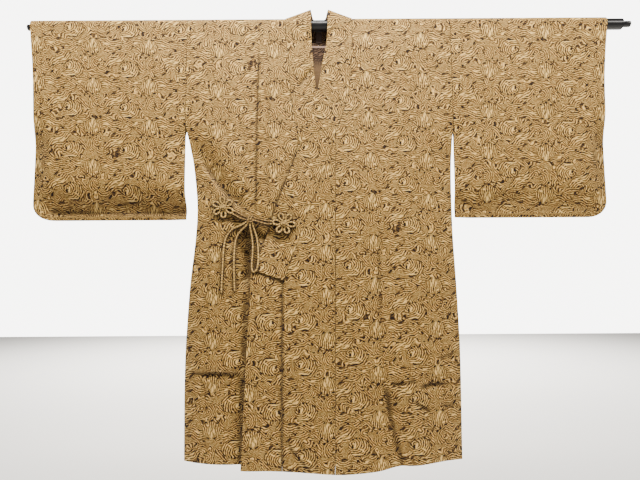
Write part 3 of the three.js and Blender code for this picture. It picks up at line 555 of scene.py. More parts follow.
def tie_marks():
    """Places on the front that the cords and the petals of the tie lie over"""
    marks = []
    for route in CORDS.values():
        marks += marks_along([(x, z) for x, _, z in route], SHADE_REACH["tie"])
    for row in FLOWERS.values():
        x, z = row["place"]
        for k in range(PETALS):
            angle = row["turn"] + 2 * math.pi * k / PETALS
            for turn in np.linspace(0, 2 * math.pi, PETAL_MARKS, endpoint=False):
                out = PETAL_REACH + PETAL_STRETCH * PETAL_LOOP * math.cos(turn)
                side = PETAL_LOOP * math.sin(turn)
                marks.append((
                    x + out * math.cos(angle) - side * math.sin(angle),
                    z + out * math.sin(angle) + side * math.cos(angle),
                    SHADE_REACH["tie"],
                ))
    return marks


def collar_end_marks():
    """Places just below the end of the collar on the left front"""
    ends = [(COLLAR_OUTER[edge + "_x"][0], COLLAR_OUTER[edge + "_z"][0]) for edge in ("free", "sewn")]
    return marks_along([(x - MARK_BESIDE, z - MARK_BESIDE) for x, z in ends], SHADE_REACH["end"])


def lap_edge_marks():
    """Places along the free edge of the left front, from below the neck to the hem"""
    collar = list(zip(COLLAR_OUTER["free_x"][:-3], COLLAR_OUTER["free_z"][:-3]))[::-1]
    band = [(LAP_EDGE_TOP_X, BAND_TOP_Z), (LAP_EDGE_HEM_X, LAP_EDGE_FOOT_Z)]
    return marks_along(collar, SHADE_REACH["lap"]) + marks_along(band, SHADE_REACH["lap"])


# What lies over a piece of the front, whose shadow is painted on it
TIE = tie_marks()
COLLAR_END = collar_end_marks()
LAP_EDGE = lap_edge_marks()
BAND_SEAM = marks_along(
    [(BAND_SEAM_X + MARK_BESIDE, BAND_TOP_Z), (BAND_SEAM_X + MARK_BESIDE, HEM_Z)], SHADE_REACH["seam"],
)


def shaded_by(marks, grid):
    """How much painted shadow each point of a front gets from what lies over it, from 0 to 1"""
    x, z = grid[..., 0] - SHADE_SHIFT["x"], grid[..., 2] - SHADE_SHIFT["z"]
    shade = np.zeros(x.shape)
    marks = np.array(marks)
    low, high = marks.min(0) - SHADE_REACH["all"], marks.max(0) + SHADE_REACH["all"]
    close = (x > low[0]) & (x < high[0]) & (z > low[1]) & (z < high[1])
    close = close & (grid[..., 1] < SHADE_SHIFT["front_y"])
    apart = np.hypot(x[close][:, None] - marks[:, 0], z[close][:, None] - marks[:, 1]) / marks[:, 2]
    shade[close] = np.exp(-(apart.min(axis=1) ** 2))
    return shade


def new_mesh(name, points, faces, maps, face_slots, materials, shades=None):
    """Mesh object at the origin, smooth shaded, with the cloth map as its UV"""
    mesh = bpy.data.meshes.new(name)
    mesh.from_pydata([tuple(point) for point in points], [], faces)
    layer = mesh.uv_layers.new(name="cloth")
    corners = np.empty(len(mesh.loops), dtype=np.int32)
    mesh.loops.foreach_get("vertex_index", corners)
    layer.data.foreach_set("uv", np.asarray(maps, float)[corners].ravel())
    mesh.polygons.foreach_set("use_smooth", [True] * len(mesh.polygons))
    # The crease attribute holds painted shade, which darkens the colour of the crepe materials
    if shades is not None:
        mesh.attributes.new("crease", "FLOAT", "POINT").data.foreach_set("value", shades)
    for material in materials:
        mesh.materials.append(material)
    mesh.polygons.foreach_set("material_index", face_slots)
    mesh.update()
    piece = bpy.data.objects.new(name, mesh)
    bpy.context.scene.collection.objects.link(piece)
    return piece


def cloth_shade(grid, normal, wrapped, under, shaded):
    """Painted shade of each point of a piece, from 0 to 1: in its creases, beside what lies on it and at its
    seams
    """
    shade = np.maximum(creased(grid, normal, wrapped) * CREASE_SHADE, shaded)
    if under:
        shade = np.maximum(shade, shaded_by(under, grid))
    shade[:, 0] = shade[:, -1] = SEAM_SHADE
    if not wrapped:
        shade[0] = shade[-1] = SEAM_SHADE
    return shade


def edges_drawn_in(grid, across, along, wrapped, pull):
    """The middle of a wall with its edges drawn in a little, for the rounding of its rim"""
    middle = grid.copy()
    middle[:, 0] += pull * unit(across)[:, 0]
    middle[:, -1] -= pull * unit(across)[:, -1]
    if not wrapped:
        middle[0] += pull * unit(along)[0]
        middle[-1] -= pull * unit(along)[-1]
    return middle


def shell(name, grid, cloth, thickness, materials, wrapped=False, under=None, shaded=0):
    """Closed wall with rounded edges round a grid of points on its middle"""
    rows, columns = grid.shape[:2]
    across = steps_along(grid, 1)
    along = steps_along(grid, 0, wrapped)
    normal = np.cross(across, along)
    # At its side edges a wall doesn't lean sideways, so that seams stay even
    normal[:, [0, -1], 0] = 0
    normal = unit(normal)
    # Painted shade of the wall's outer face
    shade = cloth_shade(grid, normal, wrapped, under, shaded)
    middle = edges_drawn_in(grid, across, along, wrapped, EDGE_ROUNDING * thickness)
    half = normal * thickness / 2
    border = [(i, j) for i in range(rows) for j in (0, columns - 1)]
    if not wrapped:
        border += [(i, j) for i in (0, rows - 1) for j in range(1, columns - 1)]
    points = np.concatenate([
        (middle + half).reshape(-1, 3), (middle - half).reshape(-1, 3), [grid[place] for place in border],
    ])
    maps = cloth.reshape(-1, 2)
    maps = np.concatenate([maps, maps, [cloth[place] for place in border]])
    # Painted shade: as computed on the outer face, none on the inner face, full on the rim
    shades = np.concatenate([shade.ravel(), 0 * shade.ravel(), np.ones(len(border))])
    shift = rows * columns
    index = np.arange(shift).reshape(rows, columns)
    rim = {index[place]: 2 * shift + k for k, place in enumerate(border)}
    below = np.roll(index, -1, 0) if wrapped else index[1:]
    above = index if wrapped else index[:-1]
    outer = np.stack([above[:, :-1], above[:, 1:], below[:, 1:], below[:, :-1]], -1).reshape(-1, 4)
    inner = outer[:, ::-1] + shift
    faces = outer.tolist() + inner.tolist()
    slots = [0] * len(outer) + [1] * len(inner)

    def edge(p, q):
        faces.append([q, p, rim[p], rim[q]])
        faces.append([rim[q], rim[p], p + shift, q + shift])
        slots.extend([0, 0])

    for i in range(len(above)):
        edge(above[i, -1], below[i, -1])
        edge(below[i, 0], above[i, 0])
    if not wrapped:
        for j in range(columns - 1):
            edge(index[0, j], index[0, j + 1])
            edge(index[-1, j + 1], index[-1, j])
    return new_mesh(name, points, faces, maps, slots, materials, shades)


class Nodes:
    """Short calls that add nodes to one tree and return their output sockets"""

    def __init__(self, tree):
        self.tree = tree

    def add(self, kind, inputs=(), **settings):
        node = self.tree.nodes.new(kind)
        for name, value in settings.items():
            setattr(node, name, value)
        for key, value in dict(inputs).items():
            self.give(node.inputs[key], value)
        return node

    def give(self, socket, value):
        if isinstance(value, bpy.types.NodeSocket):
            self.tree.links.new(value, socket)
        elif value is not None:
            socket.default_value = value

    def math(self, operation, a, b=None):
        return self.add("ShaderNodeMath", {0: a, 1: b}, operation=operation).outputs[0]

    def vector(self, operation, a, b=None, c=None):
        node = self.add("ShaderNodeVectorMath", {0: a, 1: b, 2: c}, operation=operation)
        return node.outputs["Value" if operation == "LENGTH" else "Vector"]

    def scaled(self, vector, scale):
        node = self.add("ShaderNodeVectorMath", {0: vector, "Scale": scale}, operation="SCALE")
        return node.outputs["Vector"]

    def times(self, a, b):
        return self.math("MULTIPLY", a, b)

    def without(self, amount):
        return self.math("SUBTRACT", 1.0, amount)

    def ramp(self, value, start, end):
        """Smooth step from 0 at start to 1 at end"""
        node = self.add("ShaderNodeMapRange", {"Value": value, "From Min": start, "From Max": end},
                        interpolation_type="SMOOTHSTEP")
        return node.outputs["Result"]

    def blend(self, factor, a, b):
        """Mix of two colours"""
        return self.add("ShaderNodeMix", {0: factor, 6: a, 7: b}, data_type="RGBA").outputs[2]

    def mixed(self, factor, a, b):
        """Mix of two numbers"""
        return self.add("ShaderNodeMix", {0: factor, 2: a, 3: b}, data_type="FLOAT").outputs[0]

    def split(self, vector):
        return self.add("ShaderNodeSeparateXYZ", {0: vector}).outputs

    def noise(self, vector, scale, detail=2.0, output="Fac"):
        node = self.add("ShaderNodeTexNoise", {"Vector": vector, "Scale": scale, "Detail": detail})
        return node.outputs[output]

    def placed(self, tree, inputs):
        """Outputs of a node group that is placed in this tree"""
        return self.add("ShaderNodeGroup", inputs, node_tree=tree).outputs


FLOAT, VECTOR = "NodeSocketFloat", "NodeSocketVector"


def group(name, inputs, outputs):
    """New shader node group with its sockets"""
    tree = bpy.data.node_groups.new(name, "ShaderNodeTree")
    for side, labels in (("INPUT", inputs), ("OUTPUT", outputs)):
        for label, kind in labels.items():
            tree.interface.new_socket(label, in_out=side, socket_type=kind)
    given = tree.nodes.new("NodeGroupInput").outputs
    result = tree.nodes.new("NodeGroupOutput").inputs
    return tree, Nodes(tree), given, result


# The repeat of the print in millimetres
CELL_MM = (126.0, 91.4, 1.0)
HALF_CELL = (63.0, 45.7, 50.0)
HALF_CELL_BACK = (-63.0, -45.7, -50.0)
LINE_PITCH = 4.57
LINE_DRIFT = {"by": 4.4, "along": 42.0}
LINE_SWIRL = {"by": 46.0, "scale": 0.042}
WOBBLE = {"by": 5.5, "scale": 0.11}

# Chart of the repeat in millimetres from the heart of the eye, later motifs over earlier ones:
# place, turn, size, focus, pitch, sway, arcs, ribs, strength
MOTIFS = [
    ((-40, -33), -0.10, (30, 13), (0, 0), 4.6, 3.0, 0, 0, 1.0),
    ((-10, 39), 0.30, (22, 9), (0, 0), 4.4, 2.2, 0, 0, 1.0),
    ((27, -30), 0.42, (17, 9), (0, 0), 4.2, 2.4, 0, 0, 0.9),
    ((-54, 0), 0.90, (15, 12), (6, 5), 4.2, 0.0, 1, 0, 0.9),
    ((50, 14), 1.15, (15, 12), (4, -8), 4.2, 0.5, 1, 0, 0.9),
    ((36, 42), -0.60, (15, 10), (0, 0), 4.4, 1.6, 0, 0, 0.9),
    ((50, -41), 0.04, (20, 17), (0, 0), 4.9, 0.0, 0, 1, 1.1),
    ((-25, 17), 0.52, (29, 12), (0, 0), 4.8, 3.2, 0, 0, 1.1),
    ((6, -34), -0.35, (17, 8), (0, 0), 4.0, 1.0, 0, 0, 1.0),
    ((28, 10), -0.75, (14, 7), (0, 0), 4.0, 0.6, 0, 0, 0.9),
    ((6, -3), -0.12, (23, 18), (-13, 6), 4.7, 0.0, 1, 0, 1.05),
]
# Dark spots and spikes: place, turn, size
DARK_SPOTS = [
    ((-42, -10), 0.80, (6.0, 2.0)), ((44, 25), 0.30, (2.6, 2.2)), ((-16, 44), 0.40, (2.8, 2.0)),
    ((-8, -1), 1.40, (4.4, 2.1)), ((24, 9), -0.90, (3.6, 1.4)), ((29, 0), -0.60, (2.2, 1.7)),
    ((-12, 9), 0.90, (2.2, 1.6)), ((-6, 13.5), 0.40, (2.2, 1.6)), ((1, 15.5), 0.00, (2.2, 1.6)),
    ((8, 14.5), -0.40, (2.2, 1.6)), ((-14, 2), 1.30, (2.2, 1.6)), ((33, 30), 1.20, (5.0, 1.5)),
    ((5, -19.5), 0.10, (10.0, 1.4)), ((16, -16), 0.55, (4.0, 1.4)), ((2, -29), 0.50, (2.6, 1.8)),
    ((14, -40), -0.50, (2.8, 1.7)), ((-48, 15), 0.70, (2.4, 1.7)), ((-36, 6), 0.50, (9.0, 1.3)),
    ((58, 30), 0.90, (2.2, 1.6)), ((50, -60), 0.10, (2.8, 2.4)), ((38, -55), -0.50, (3.0, 1.7)),
    ((62, -55), 0.50, (3.0, 1.7)), ((43, -25), 0.80, (3.4, 1.5)), ((57, -25), -0.80, (3.4, 1.5)),
    ((62, 6), 0.30, (2.6, 1.7)), ((-26, -26), 0.20, (8.0, 1.2)), ((-60, -18), -0.30, (5.0, 1.3)),
    ((-30, 34), 0.55, (7.0, 1.3)), ((22, 27), -0.30, (3.0, 1.5)), ((-20, -44), 0.10, (3.0, 1.6)),
]
# Light flecks: place, turn, size
LIGHT_FLECKS = [
    ((-2.5, 1.5), 1.25, (5.4, 2.2)), ((1, -16.5), 0.05, (11.0, 1.3)), ((50, -30), 1.50, (7.0, 1.8)),
    ((45, -38), 1.75, (6.0, 1.3)), ((55, -38), 1.35, (6.0, 1.3)), ((-27, 20), 0.56, (11.0, 1.2)),
    ((-16, 17), 0.50, (7.0, 1.2)), ((58, 42), 0.30, (3.6, 1.6)), ((-34, 9), 0.60, (6.0, 1.1)),
    ((12, -8), -0.60, (6.0, 1.2)), ((-44, -36), -0.10, (7.0, 1.2)), ((20, -32), 0.40, (5.0, 1.2)),
]


def in_motif(g, given):
    """Place in a motif's own turned frame, and how far out it lies, 1 being the motif's edge"""
    offset = g.vector("SUBTRACT", given["Cloth"], given["Place"])
    offset = g.vector("WRAP", offset, HALF_CELL, HALF_CELL_BACK)
    back = g.times(given["Turn"], -1.0)
    turned = g.add("ShaderNodeVectorRotate", {"Vector": offset, "Angle": back}, rotation_type="Z_AXIS")
    turned = turned.outputs[0]
    return turned, g.vector("LENGTH", g.vector("DIVIDE", turned, given["Size"]))


def print_motif():
    """One motif of the print: an oval filled with strokes, with arcs round a focus or with a shell's ribs"""
    inputs = {"Cloth": VECTOR, "Place": VECTOR, "Turn": FLOAT, "Size": VECTOR, "Focus": VECTOR}
    inputs.update({"Pitch": FLOAT, "Sway": FLOAT, "Arcs": FLOAT, "Ribs": FLOAT})
    tree, g, given, result = group("print_motif", inputs, {"Wave": FLOAT, "Inside": FLOAT, "Rim": FLOAT})
    turned, reach = in_motif(g, given)
    local = g.split(turned)
    sway = g.times(g.math("SINE", g.times(local[0], 0.16)), given["Sway"])
    strokes = g.math("DIVIDE", g.math("ADD", local[1], sway), given["Pitch"])
    from_focus = g.vector("SUBTRACT", turned, given["Focus"])
    arcs = g.vector("LENGTH", g.vector("MULTIPLY", from_focus, (1.0, 1.15, 0.0)))
    arcs = g.math("DIVIDE", arcs, given["Pitch"])
    down = g.times(g.math("DIVIDE", local[1], g.split(given["Size"])[1]), 0.5)
    down = g.math("SUBTRACT", 0.5, down)
    spread = g.math("SQRT", g.math("ADD", g.times(down, 0.66), 0.34))
    ribs = g.math("DIVIDE", g.math("DIVIDE", local[0], spread), given["Pitch"])
    phase = g.mixed(given["Ribs"], g.mixed(given["Arcs"], strokes, arcs), ribs)
    g.give(result["Wave"], g.math("SINE", g.times(phase, 2 * math.pi)))
    g.give(result["Inside"], g.ramp(reach, 1.04, 0.97))
    g.give(result["Rim"], g.times(g.ramp(reach, 0.90, 1.0), g.ramp(reach, 1.12, 1.02)))
    return tree


def print_spot():
    """One dark spot, spike or light fleck of the print"""
    inputs = {"Cloth": VECTOR, "Place": VECTOR, "Turn": FLOAT, "Size": VECTOR}
    tree, g, given, result = group("print_spot", inputs, {"Spot": FLOAT})
    turned, reach = in_motif(g, given)
    g.give(result["Spot"], g.ramp(reach, 1.35, 0.75))
    return tree


def all_spots(g, spot_tree, cell, chart):
    """How much of the cloth the spots of a chart cover at a place"""
    total = None
    for place, turn, size in chart:
        spot = g.placed(spot_tree, {"Cloth": cell, "Place": (*place, 0), "Turn": turn, "Size": (*size, 50)})
        total = spot["Spot"] if total is None else g.math("MAXIMUM", total, spot["Spot"])
    return total


def print_ground(g, cell):
    """Waving lines that fill the cloth between the motifs"""
    flow = g.split(cell)
    drift = g.math("SINE", g.times(flow[0], 2 * math.pi / LINE_DRIFT["along"]))
    swirl = g.math("SUBTRACT", g.noise(cell, LINE_SWIRL["scale"], 0.0), 0.5)
    drift = g.math("ADD", g.times(drift, LINE_DRIFT["by"]), g.times(swirl, LINE_SWIRL["by"]))
    return g.math("SINE", g.times(g.math("ADD", flow[1], drift), 2 * math.pi / LINE_PITCH))


def coat_print():
    """The whole print: amounts of dark ink and of light ground at a place in the repeat"""
    motif_tree, spot_tree = print_motif(), print_spot()
    tree, g, given, result = group("coat_print", {"Cloth": VECTOR}, {"Dark": FLOAT, "Light": FLOAT})
    cell = g.vector("MULTIPLY", given["Cloth"], CELL_MM)
    wobble = g.noise(cell, WOBBLE["scale"], 1.0, "Color")
    wobble = g.scaled(g.vector("SUBTRACT", wobble, (0.5, 0.5, 0.5)), WOBBLE["by"])
    cell = g.vector("ADD", cell, wobble)
    wave = print_ground(g, cell)
    rims = None
    for place, turn, size, focus, pitch, sway, arcs, ribs, strength in MOTIFS:
        motif = g.placed(motif_tree, {
            "Cloth": cell, "Place": (*place, 0), "Turn": turn, "Size": (*size, 50), "Focus": (*focus, 0),
            "Pitch": pitch, "Sway": sway, "Arcs": arcs, "Ribs": ribs,
        })
        wave = g.mixed(motif["Inside"], wave, g.times(motif["Wave"], strength))
        if rims is None:
            rims = motif["Rim"]
        else:
            rims = g.math("MAXIMUM", g.times(rims, g.without(motif["Inside"])), motif["Rim"])
    dark_spots = all_spots(g, spot_tree, cell, DARK_SPOTS)
    light_flecks = all_spots(g, spot_tree, cell, LIGHT_FLECKS)
    broken = g.mixed(g.ramp(g.noise(cell, 0.20, 1.0), 0.36, 0.56), 0.60, 1.0)
    dark = g.math("MAXIMUM", g.times(g.ramp(wave, 0.22, -0.28), broken), g.times(rims, 0.45))
    dark = g.times(dark, g.without(light_flecks))
    g.give(result["Dark"], g.math("MAXIMUM", dark, dark_spots))
    elsewhere = g.vector("ADD", cell, (7.0, 53.0, 11.0))
    patchy = g.mixed(g.ramp(g.noise(elsewhere, 0.26, 1.0), 0.42, 0.58), 0.15, 1.0)
    light = g.times(g.ramp(wave, 0.25, 0.80), patchy)
    g.give(result["Light"], g.math("MAXIMUM", light, light_flecks))
    return tree


def cloth_grain():
    """Fine crepe or plain weave as a height, with a slow change of shade"""
    tree, g, given, result = group(
        "cloth_grain", {"Place": VECTOR, "Thread": FLOAT}, {"Height": FLOAT, "Shade": FLOAT},
    )
    place = g.scaled(given["Place"], given["Thread"])
    parts = g.split(place)
    twill = g.times(g.times(g.math("SINE", parts[0]), g.math("SINE", parts[2])), 0.35)
    g.give(result["Height"], g.math("ADD", g.noise(place, 0.45, 3.0), twill))
    g.give(result["Shade"], g.noise(place, 0.012, 2.0))
    return tree


print_tree = coat_print()
grain_tree = cloth_grain()


def material(name):
    made = bpy.data.materials.new(name)
    made.use_nodes = True
    made.node_tree.nodes.clear()
    graph = Nodes(made.node_tree)
    shader = graph.add("ShaderNodeBsdfPrincipled")
    graph.add("ShaderNodeOutputMaterial", {0: shader.outputs[0]})
    return made, graph, shader


def object_place(graph):
    return graph.add("ShaderNodeTexCoord").outputs["Object"]


def cloth_place(graph):
    return graph.add("ShaderNodeUVMap", uv_map="cloth").outputs[0]


def bumped(graph, shader, height, distance, strength=0.6):
    bump = graph.add("ShaderNodeBump", {"Height": height, "Distance": distance, "Strength": strength})
    graph.give(shader.inputs["Normal"], bump.outputs[0])


def grain(graph, thread):
    """Height and shade of the cloth's threads"""
    made = graph.placed(grain_tree, {"Place": object_place(graph), "Thread": thread})
    return made["Height"], made["Shade"]


# Colours of the print on the outside, and of the same print darkened by painted shade on the collar's inside
# and on the lining of the back
OUTSIDE = {
    "ground": (0.500, 0.268, 0.060, 1), "shaded": (0.400, 0.210, 0.046, 1),
    "line": (0.014, 0.005, 0.002, 1), "highlight": (1.000, 0.660, 0.200, 1),
}
INSIDE_PAINTED_SHADE = {
    "ground": (0.200, 0.105, 0.050, 1), "shaded": (0.150, 0.078, 0.038, 1),
    "line": (0.015, 0.006, 0.003, 1), "highlight": (0.400, 0.250, 0.140, 1),
}
ON_LINING_PAINTED_SHADE = {
    "ground": (0.130, 0.062, 0.030, 1), "shaded": (0.100, 0.048, 0.024, 1),
    "line": (0.012, 0.005, 0.003, 1), "highlight": (0.220, 0.120, 0.060, 1),
}
ON_CORD = dict(OUTSIDE, line=(0.160, 0.080, 0.030, 1))
# Painted shade of a cord: in the grooves of its twist, and on its sides
CORD_GROOVE_PAINTED_SHADE = (0.120, 0.055, 0.018, 1)
CORD_SIDE = (0.022, 0.009, 0.003, 1)


def coat_colours(graph, cloth, inks):
    """Colour of the printed crepe at a place on the cloth, darkened by the painted shade of the crease
    attribute, with its dark mask and its crepe height
    """
    made = graph.placed(print_tree, {"Cloth": cloth})
    height, shade = grain(graph, 5200.0)
    colour = graph.blend(graph.ramp(shade, 0.35, 0.65), inks["shaded"], inks["ground"])
    colour = graph.blend(made["Light"], colour, inks["highlight"])
    colour = graph.blend(made["Dark"], colour, inks["line"])
    # Painted shade: the crease attribute darkens the colour towards the line ink
    crease = graph.add("ShaderNodeAttribute", attribute_name="crease").outputs["Fac"]
    colour = graph.blend(graph.times(crease, PAINTED_SHADE_DARKNESS), colour, inks["line"])
    return colour, made["Dark"], height


def crepe_finish(graph, shader, colour, dark, height):
    """Soft low sheen of the silk, duller where the dark ink lies"""
    graph.give(shader.inputs["Base Color"], colour)
    graph.give(shader.inputs["Roughness"], graph.mixed(dark, 0.66, 0.82))
    shader.inputs["Sheen Weight"].default_value = 0.12
    shader.inputs["Sheen Roughness"].default_value = 0.45
    shader.inputs["Specular IOR Level"].default_value = 0.30
    bumped(graph, shader, height, 0.00022)


def printed_crepe(name, inks):
    """Printed silk crepe: beige gold ground, dark brown lines and cream highlights"""
    made, graph, shader = material(name)
    crepe_finish(graph, shader, *coat_colours(graph, cloth_place(graph), inks))
    return made


def rolled_cord(name, light, painted_shade_from, painted_shade_to):
    """The same crepe rolled into a cord: short pieces of the print, painted shade in its spiral grooves and
    on its sides, a painted highlight on its crest
    """
    made, graph, shader = material(name)
    cloth = cloth_place(graph)
    crest, along = graph.split(cloth)[:2]
    narrow = graph.vector("MULTIPLY", cloth, (0.12, 1.0, 1.0))
    colour, dark, height = coat_colours(graph, narrow, ON_CORD)
    # Painted shade in a spiral of grooves round the cord
    wraps = graph.math("ADD", graph.times(along, 13.0), graph.times(crest, 0.6))
    wraps = graph.math("SINE", graph.times(wraps, 2 * math.pi))
    # Painted highlight on the crest, and painted shade on the cord's sides
    painted_highlight_on_crest = graph.times(graph.ramp(crest, 0.85, 1.0), light)
    colour = graph.blend(painted_highlight_on_crest, colour, OUTSIDE["highlight"])
    colour = graph.blend(graph.ramp(wraps, -0.70, -0.95), colour, CORD_GROOVE_PAINTED_SHADE)
    colour = graph.blend(graph.ramp(crest, painted_shade_from, painted_shade_to), CORD_SIDE, colour)
    crepe_finish(graph, shader, colour, dark, height)
    return made


def plain(name, colour, shaded, thread, roughness, sheen):
    """Plain woven cloth with a slight change of shade"""
    made, graph, shader = material(name)
    height, shade = grain(graph, thread)
    graph.give(shader.inputs["Base Color"], graph.blend(graph.ramp(shade, 0.3, 0.7), shaded, colour))
    shader.inputs["Roughness"].default_value = roughness
    shader.inputs["Sheen Weight"].default_value = sheen
    bumped(graph, shader, height, 0.00015)
    return made


def back_lining_silk():
    """Lining of the back, the print darkened by painted shade under the collar and lightened by painted light
    below, with a pale turned edge at its top
    """
    made, graph, shader = material("back_lining_silk")
    level = graph.split(object_place(graph))[2]
    upper, dark, height = coat_colours(graph, cloth_place(graph), ON_LINING_PAINTED_SHADE)
    # Painted light: lower down the shaded print is blended towards a lighter brown
    lower = graph.blend(0.55, upper, (0.480, 0.290, 0.130, 1))
    colour = graph.blend(graph.ramp(level, -0.072, -0.105), upper, lower)
    colour = graph.blend(graph.ramp(level, -0.0482, -0.0462), colour, (0.620, 0.400, 0.300, 1))
    crepe_finish(graph, shader, colour, dark, height)
    return made


def black_rod_paint():
    """Black painted steel, a little worn"""
    made, graph, shader = material("black_rod_paint")
    place = object_place(graph)
    wear = graph.noise(place, 38.0, 4.0)
    colour = graph.blend(wear, (0.008, 0.008, 0.009, 1), (0.018, 0.018, 0.020, 1))
    graph.give(shader.inputs["Base Color"], colour)
    graph.give(shader.inputs["Roughness"], graph.mixed(wear, 0.22, 0.42))
    bumped(graph, shader, graph.noise(place, 900.0, 2.0), 0.00004, 0.3)
    return made


def pale_floor():
    made, graph, shader = material("pale_floor")
    colour = graph.noise(object_place(graph), 1.3, 3.0)
    colour = graph.blend(colour, (0.90, 0.88, 0.84, 1), (0.94, 0.92, 0.88, 1))
    graph.give(shader.inputs["Base Color"], colour)
    shader.inputs["Roughness"].default_value = 0.85
    return made


crepe = printed_crepe("printed_crepe", OUTSIDE)
# Crepe of the collar's inside: the same print darkened by painted shade
crepe_in_painted_shade = printed_crepe("printed_crepe_in_painted_shade", INSIDE_PAINTED_SHADE)
# Cords: strength of the painted highlight on the crest, and the span over which their sides go into painted
# shade
cord_cloth = rolled_cord("rolled_crepe_cord", 0.62, 0.67, 0.90)
petal_cloth = rolled_cord("rolled_crepe_petals", 0.62, 0.77, 0.95)
strand_cloth = rolled_cord("rolled_crepe_strands", 0.20, 0.82, 0.99)
lining = plain("lining_silk", (0.090, 0.045, 0.028, 1), (0.055, 0.028, 0.018, 1), 6800.0, 0.55, 0.15)
tape_cloth = plain("hanging_tape", (0.230, 0.155, 0.125, 1), (0.170, 0.110, 0.085, 1), 3600.0, 0.7, 0.1)
back_silk = back_lining_silk()
rod_paint = black_rod_paint()


def stands_for(piece, node):
    """Fix a piece to the one body and let it take the place of its solid"""
    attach(piece, "root")
    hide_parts(node)


def sewn(piece, node):
    """A cut and sewn piece of cloth"""
    stands_for(piece, node)


def sewn_x(rows, z):
    """Edge of a front to which the collar is sewn, from the shoulder down to the tip of the overlap"""
    return read(rows, "sewn_z", z, "sewn_x")


def front_levels(top):
    """Levels of a piece of the front from the hem up to its top"""
    return (HEM_Z + (top - HEM_Z) * spaced(top - HEM_Z, FINE))[:, None]


def to_hem(x, z, hem):
    """Levels drawn down to the curve of the hem"""
    return z + (read(hem, "x", x, "z") - HEM_Z) * smooth(HEM_FROM_Z, HEM_Z, z)


def stack(*rows):
    return np.stack(np.broadcast_arrays(*rows), axis=-1)


def run_length(path):
    """Length along a path at each of its points"""
    return np.concatenate([[0], np.cumsum(np.linalg.norm(np.diff(path, axis=0), axis=1))])


def over_rod(x):
    """Half a turn over the rod from the front to the back, with the length along it"""
    turn = stack(x, OVER_ROD * np.sin(ROD_TURN), OVER_ROD * np.cos(ROD_TURN))
    return turn, OVER_ROD * (ROD_TURN + math.pi / 2) + 0 * x


def back_levels():
    """Levels of the back below the rod, and how far from the middle seam each of them starts"""
    fall = np.linspace(0, math.pi / 2, 13)[1:, None]
    foot = NECK_DROP + SEAM_GAP
    lower = foot + (-HEM_Z - foot) * spaced(-HEM_Z - foot, COARSE)[1:, None]
    neck = np.maximum((NECK_HALF + SEAM_GAP) * np.cos(fall), SEAM_GAP / 2)
    return (
        -np.concatenate([foot * np.sin(fall), lower]),
        np.concatenate([neck, np.full(lower.shape, SEAM_GAP / 2)]),
    )


def body_half(side, collar, tip, hem_x, hem, surface):
    """Points of one half of the body, front, shoulder and back in one length, with the length at each"""
    across = spaced(BODY_WIDE, FINE)[None, :]
    levels = front_levels(0)[:-1]
    below_tip = mix(tip[0], hem_x, (levels - tip[1]) / (HEM_Z - tip[1]))
    seam = np.where(levels > tip[1], sewn_x(collar, levels), below_tip) + side * SEAM_GAP
    x = mix(seam, side * half_width(side, levels), across)
    z = to_hem(x, levels, hem)
    front = stack(x, surface(x, z), z)
    shoulder, shoulder_length = over_rod(mix(side * (NECK_HALF + SEAM_GAP), side * ARMHOLE_X, across))
    levels, inner = back_levels()
    x = mix(side * inner, side * half_width(side, levels), across)
    z = to_hem(x, levels, HEM_BACK)
    back = stack(x, back_y(x, z), z)
    grid = np.concatenate([front, shoulder, back])
    length = np.concatenate([front[..., 2], shoulder_length, math.pi * OVER_ROD - z])
    if side < 0:
        grid, length = grid[:, ::-1], length[:, ::-1]
    return grid, length


grid, length = body_half(-1, COLLAR_INNER, INNER_TIP, INNER_HEM_X, HEM_INNER, inner_lap_y)
cloth = cloth_map(grid[..., 0], print_rows(length), -0.177, 0.0, turned=True)
body_right = shell("coat_body_right", grid, cloth, BODY_WALL, [crepe, lining], under=TIE + LAP_EDGE)
sewn(body_right, "body_right")

grid, length = body_half(1, COLLAR_OUTER, OKUMI_TIP, OKUMI_HEM_X, HEM_OUTER, outer_lap_y)
cloth = cloth_map(grid[..., 0], print_rows(length), 0.187, 0.12, lean=-0.012)
body_left = shell("coat_body_left", grid, cloth, BODY_WALL, [crepe, lining])
sewn(body_left, "body_left")


def okumi(side, collar, tip, hem_x, edge_x, hem, surface, lap):
    """Overlap panel, from just below the tip under the collar to the hem"""
    z = front_levels(tip[1] - OKUMI_BELOW_TIP)
    seam = mix(tip[0], hem_x, (z - tip[1]) / (HEM_Z - tip[1])) - side * SEAM_GAP / 2
    end_z = collar["sewn_z"][0] - SEAM_GAP
    free = np.where(z > end_z, sewn_x(collar, z) + side * SEAM_GAP, edge_x(z))
    x = mix(free, seam, spaced(OKUMI_WIDE[lap], FINE)[None, :])
    level = to_hem(x, z, hem)
    grid = stack(x, surface(x, level), level)
    return grid if side > 0 else grid[:, ::-1]


def inner_okumi_edge_x(z):
    return mix(INNER_EDGE_TOP_X, INNER_EDGE_HEM_X, (z - BAND_TOP_Z) / (HEM_Z - BAND_TOP_Z))


def outer_okumi_edge_x(z):
    return OUTER_EDGE_X + 0 * z


grid = okumi(1, COLLAR_OUTER, OKUMI_TIP, OKUMI_HEM_X, outer_okumi_edge_x, HEM_OUTER, outer_lap_y, "outer")
cloth = cloth_map(grid[..., 0], print_rows(grid[..., 2]), -0.037, -0.11)
okumi_left = shell(
    "coat_okumi_left", grid, cloth, BODY_WALL, [crepe, lining], under=TIE + COLLAR_END + BAND_SEAM,
)
sewn(okumi_left, "okumi_left")

grid = okumi(-1, COLLAR_INNER, INNER_TIP, INNER_HEM_X, inner_okumi_edge_x, HEM_INNER, inner_lap_y, "inner")
cloth = cloth_map(grid[..., 0], print_rows(grid[..., 2]), -0.037, -0.11, turned=True)
okumi_right = shell("coat_okumi_right", grid, cloth, BODY_WALL, [crepe, lining])
sewn(okumi_right, "okumi_right")


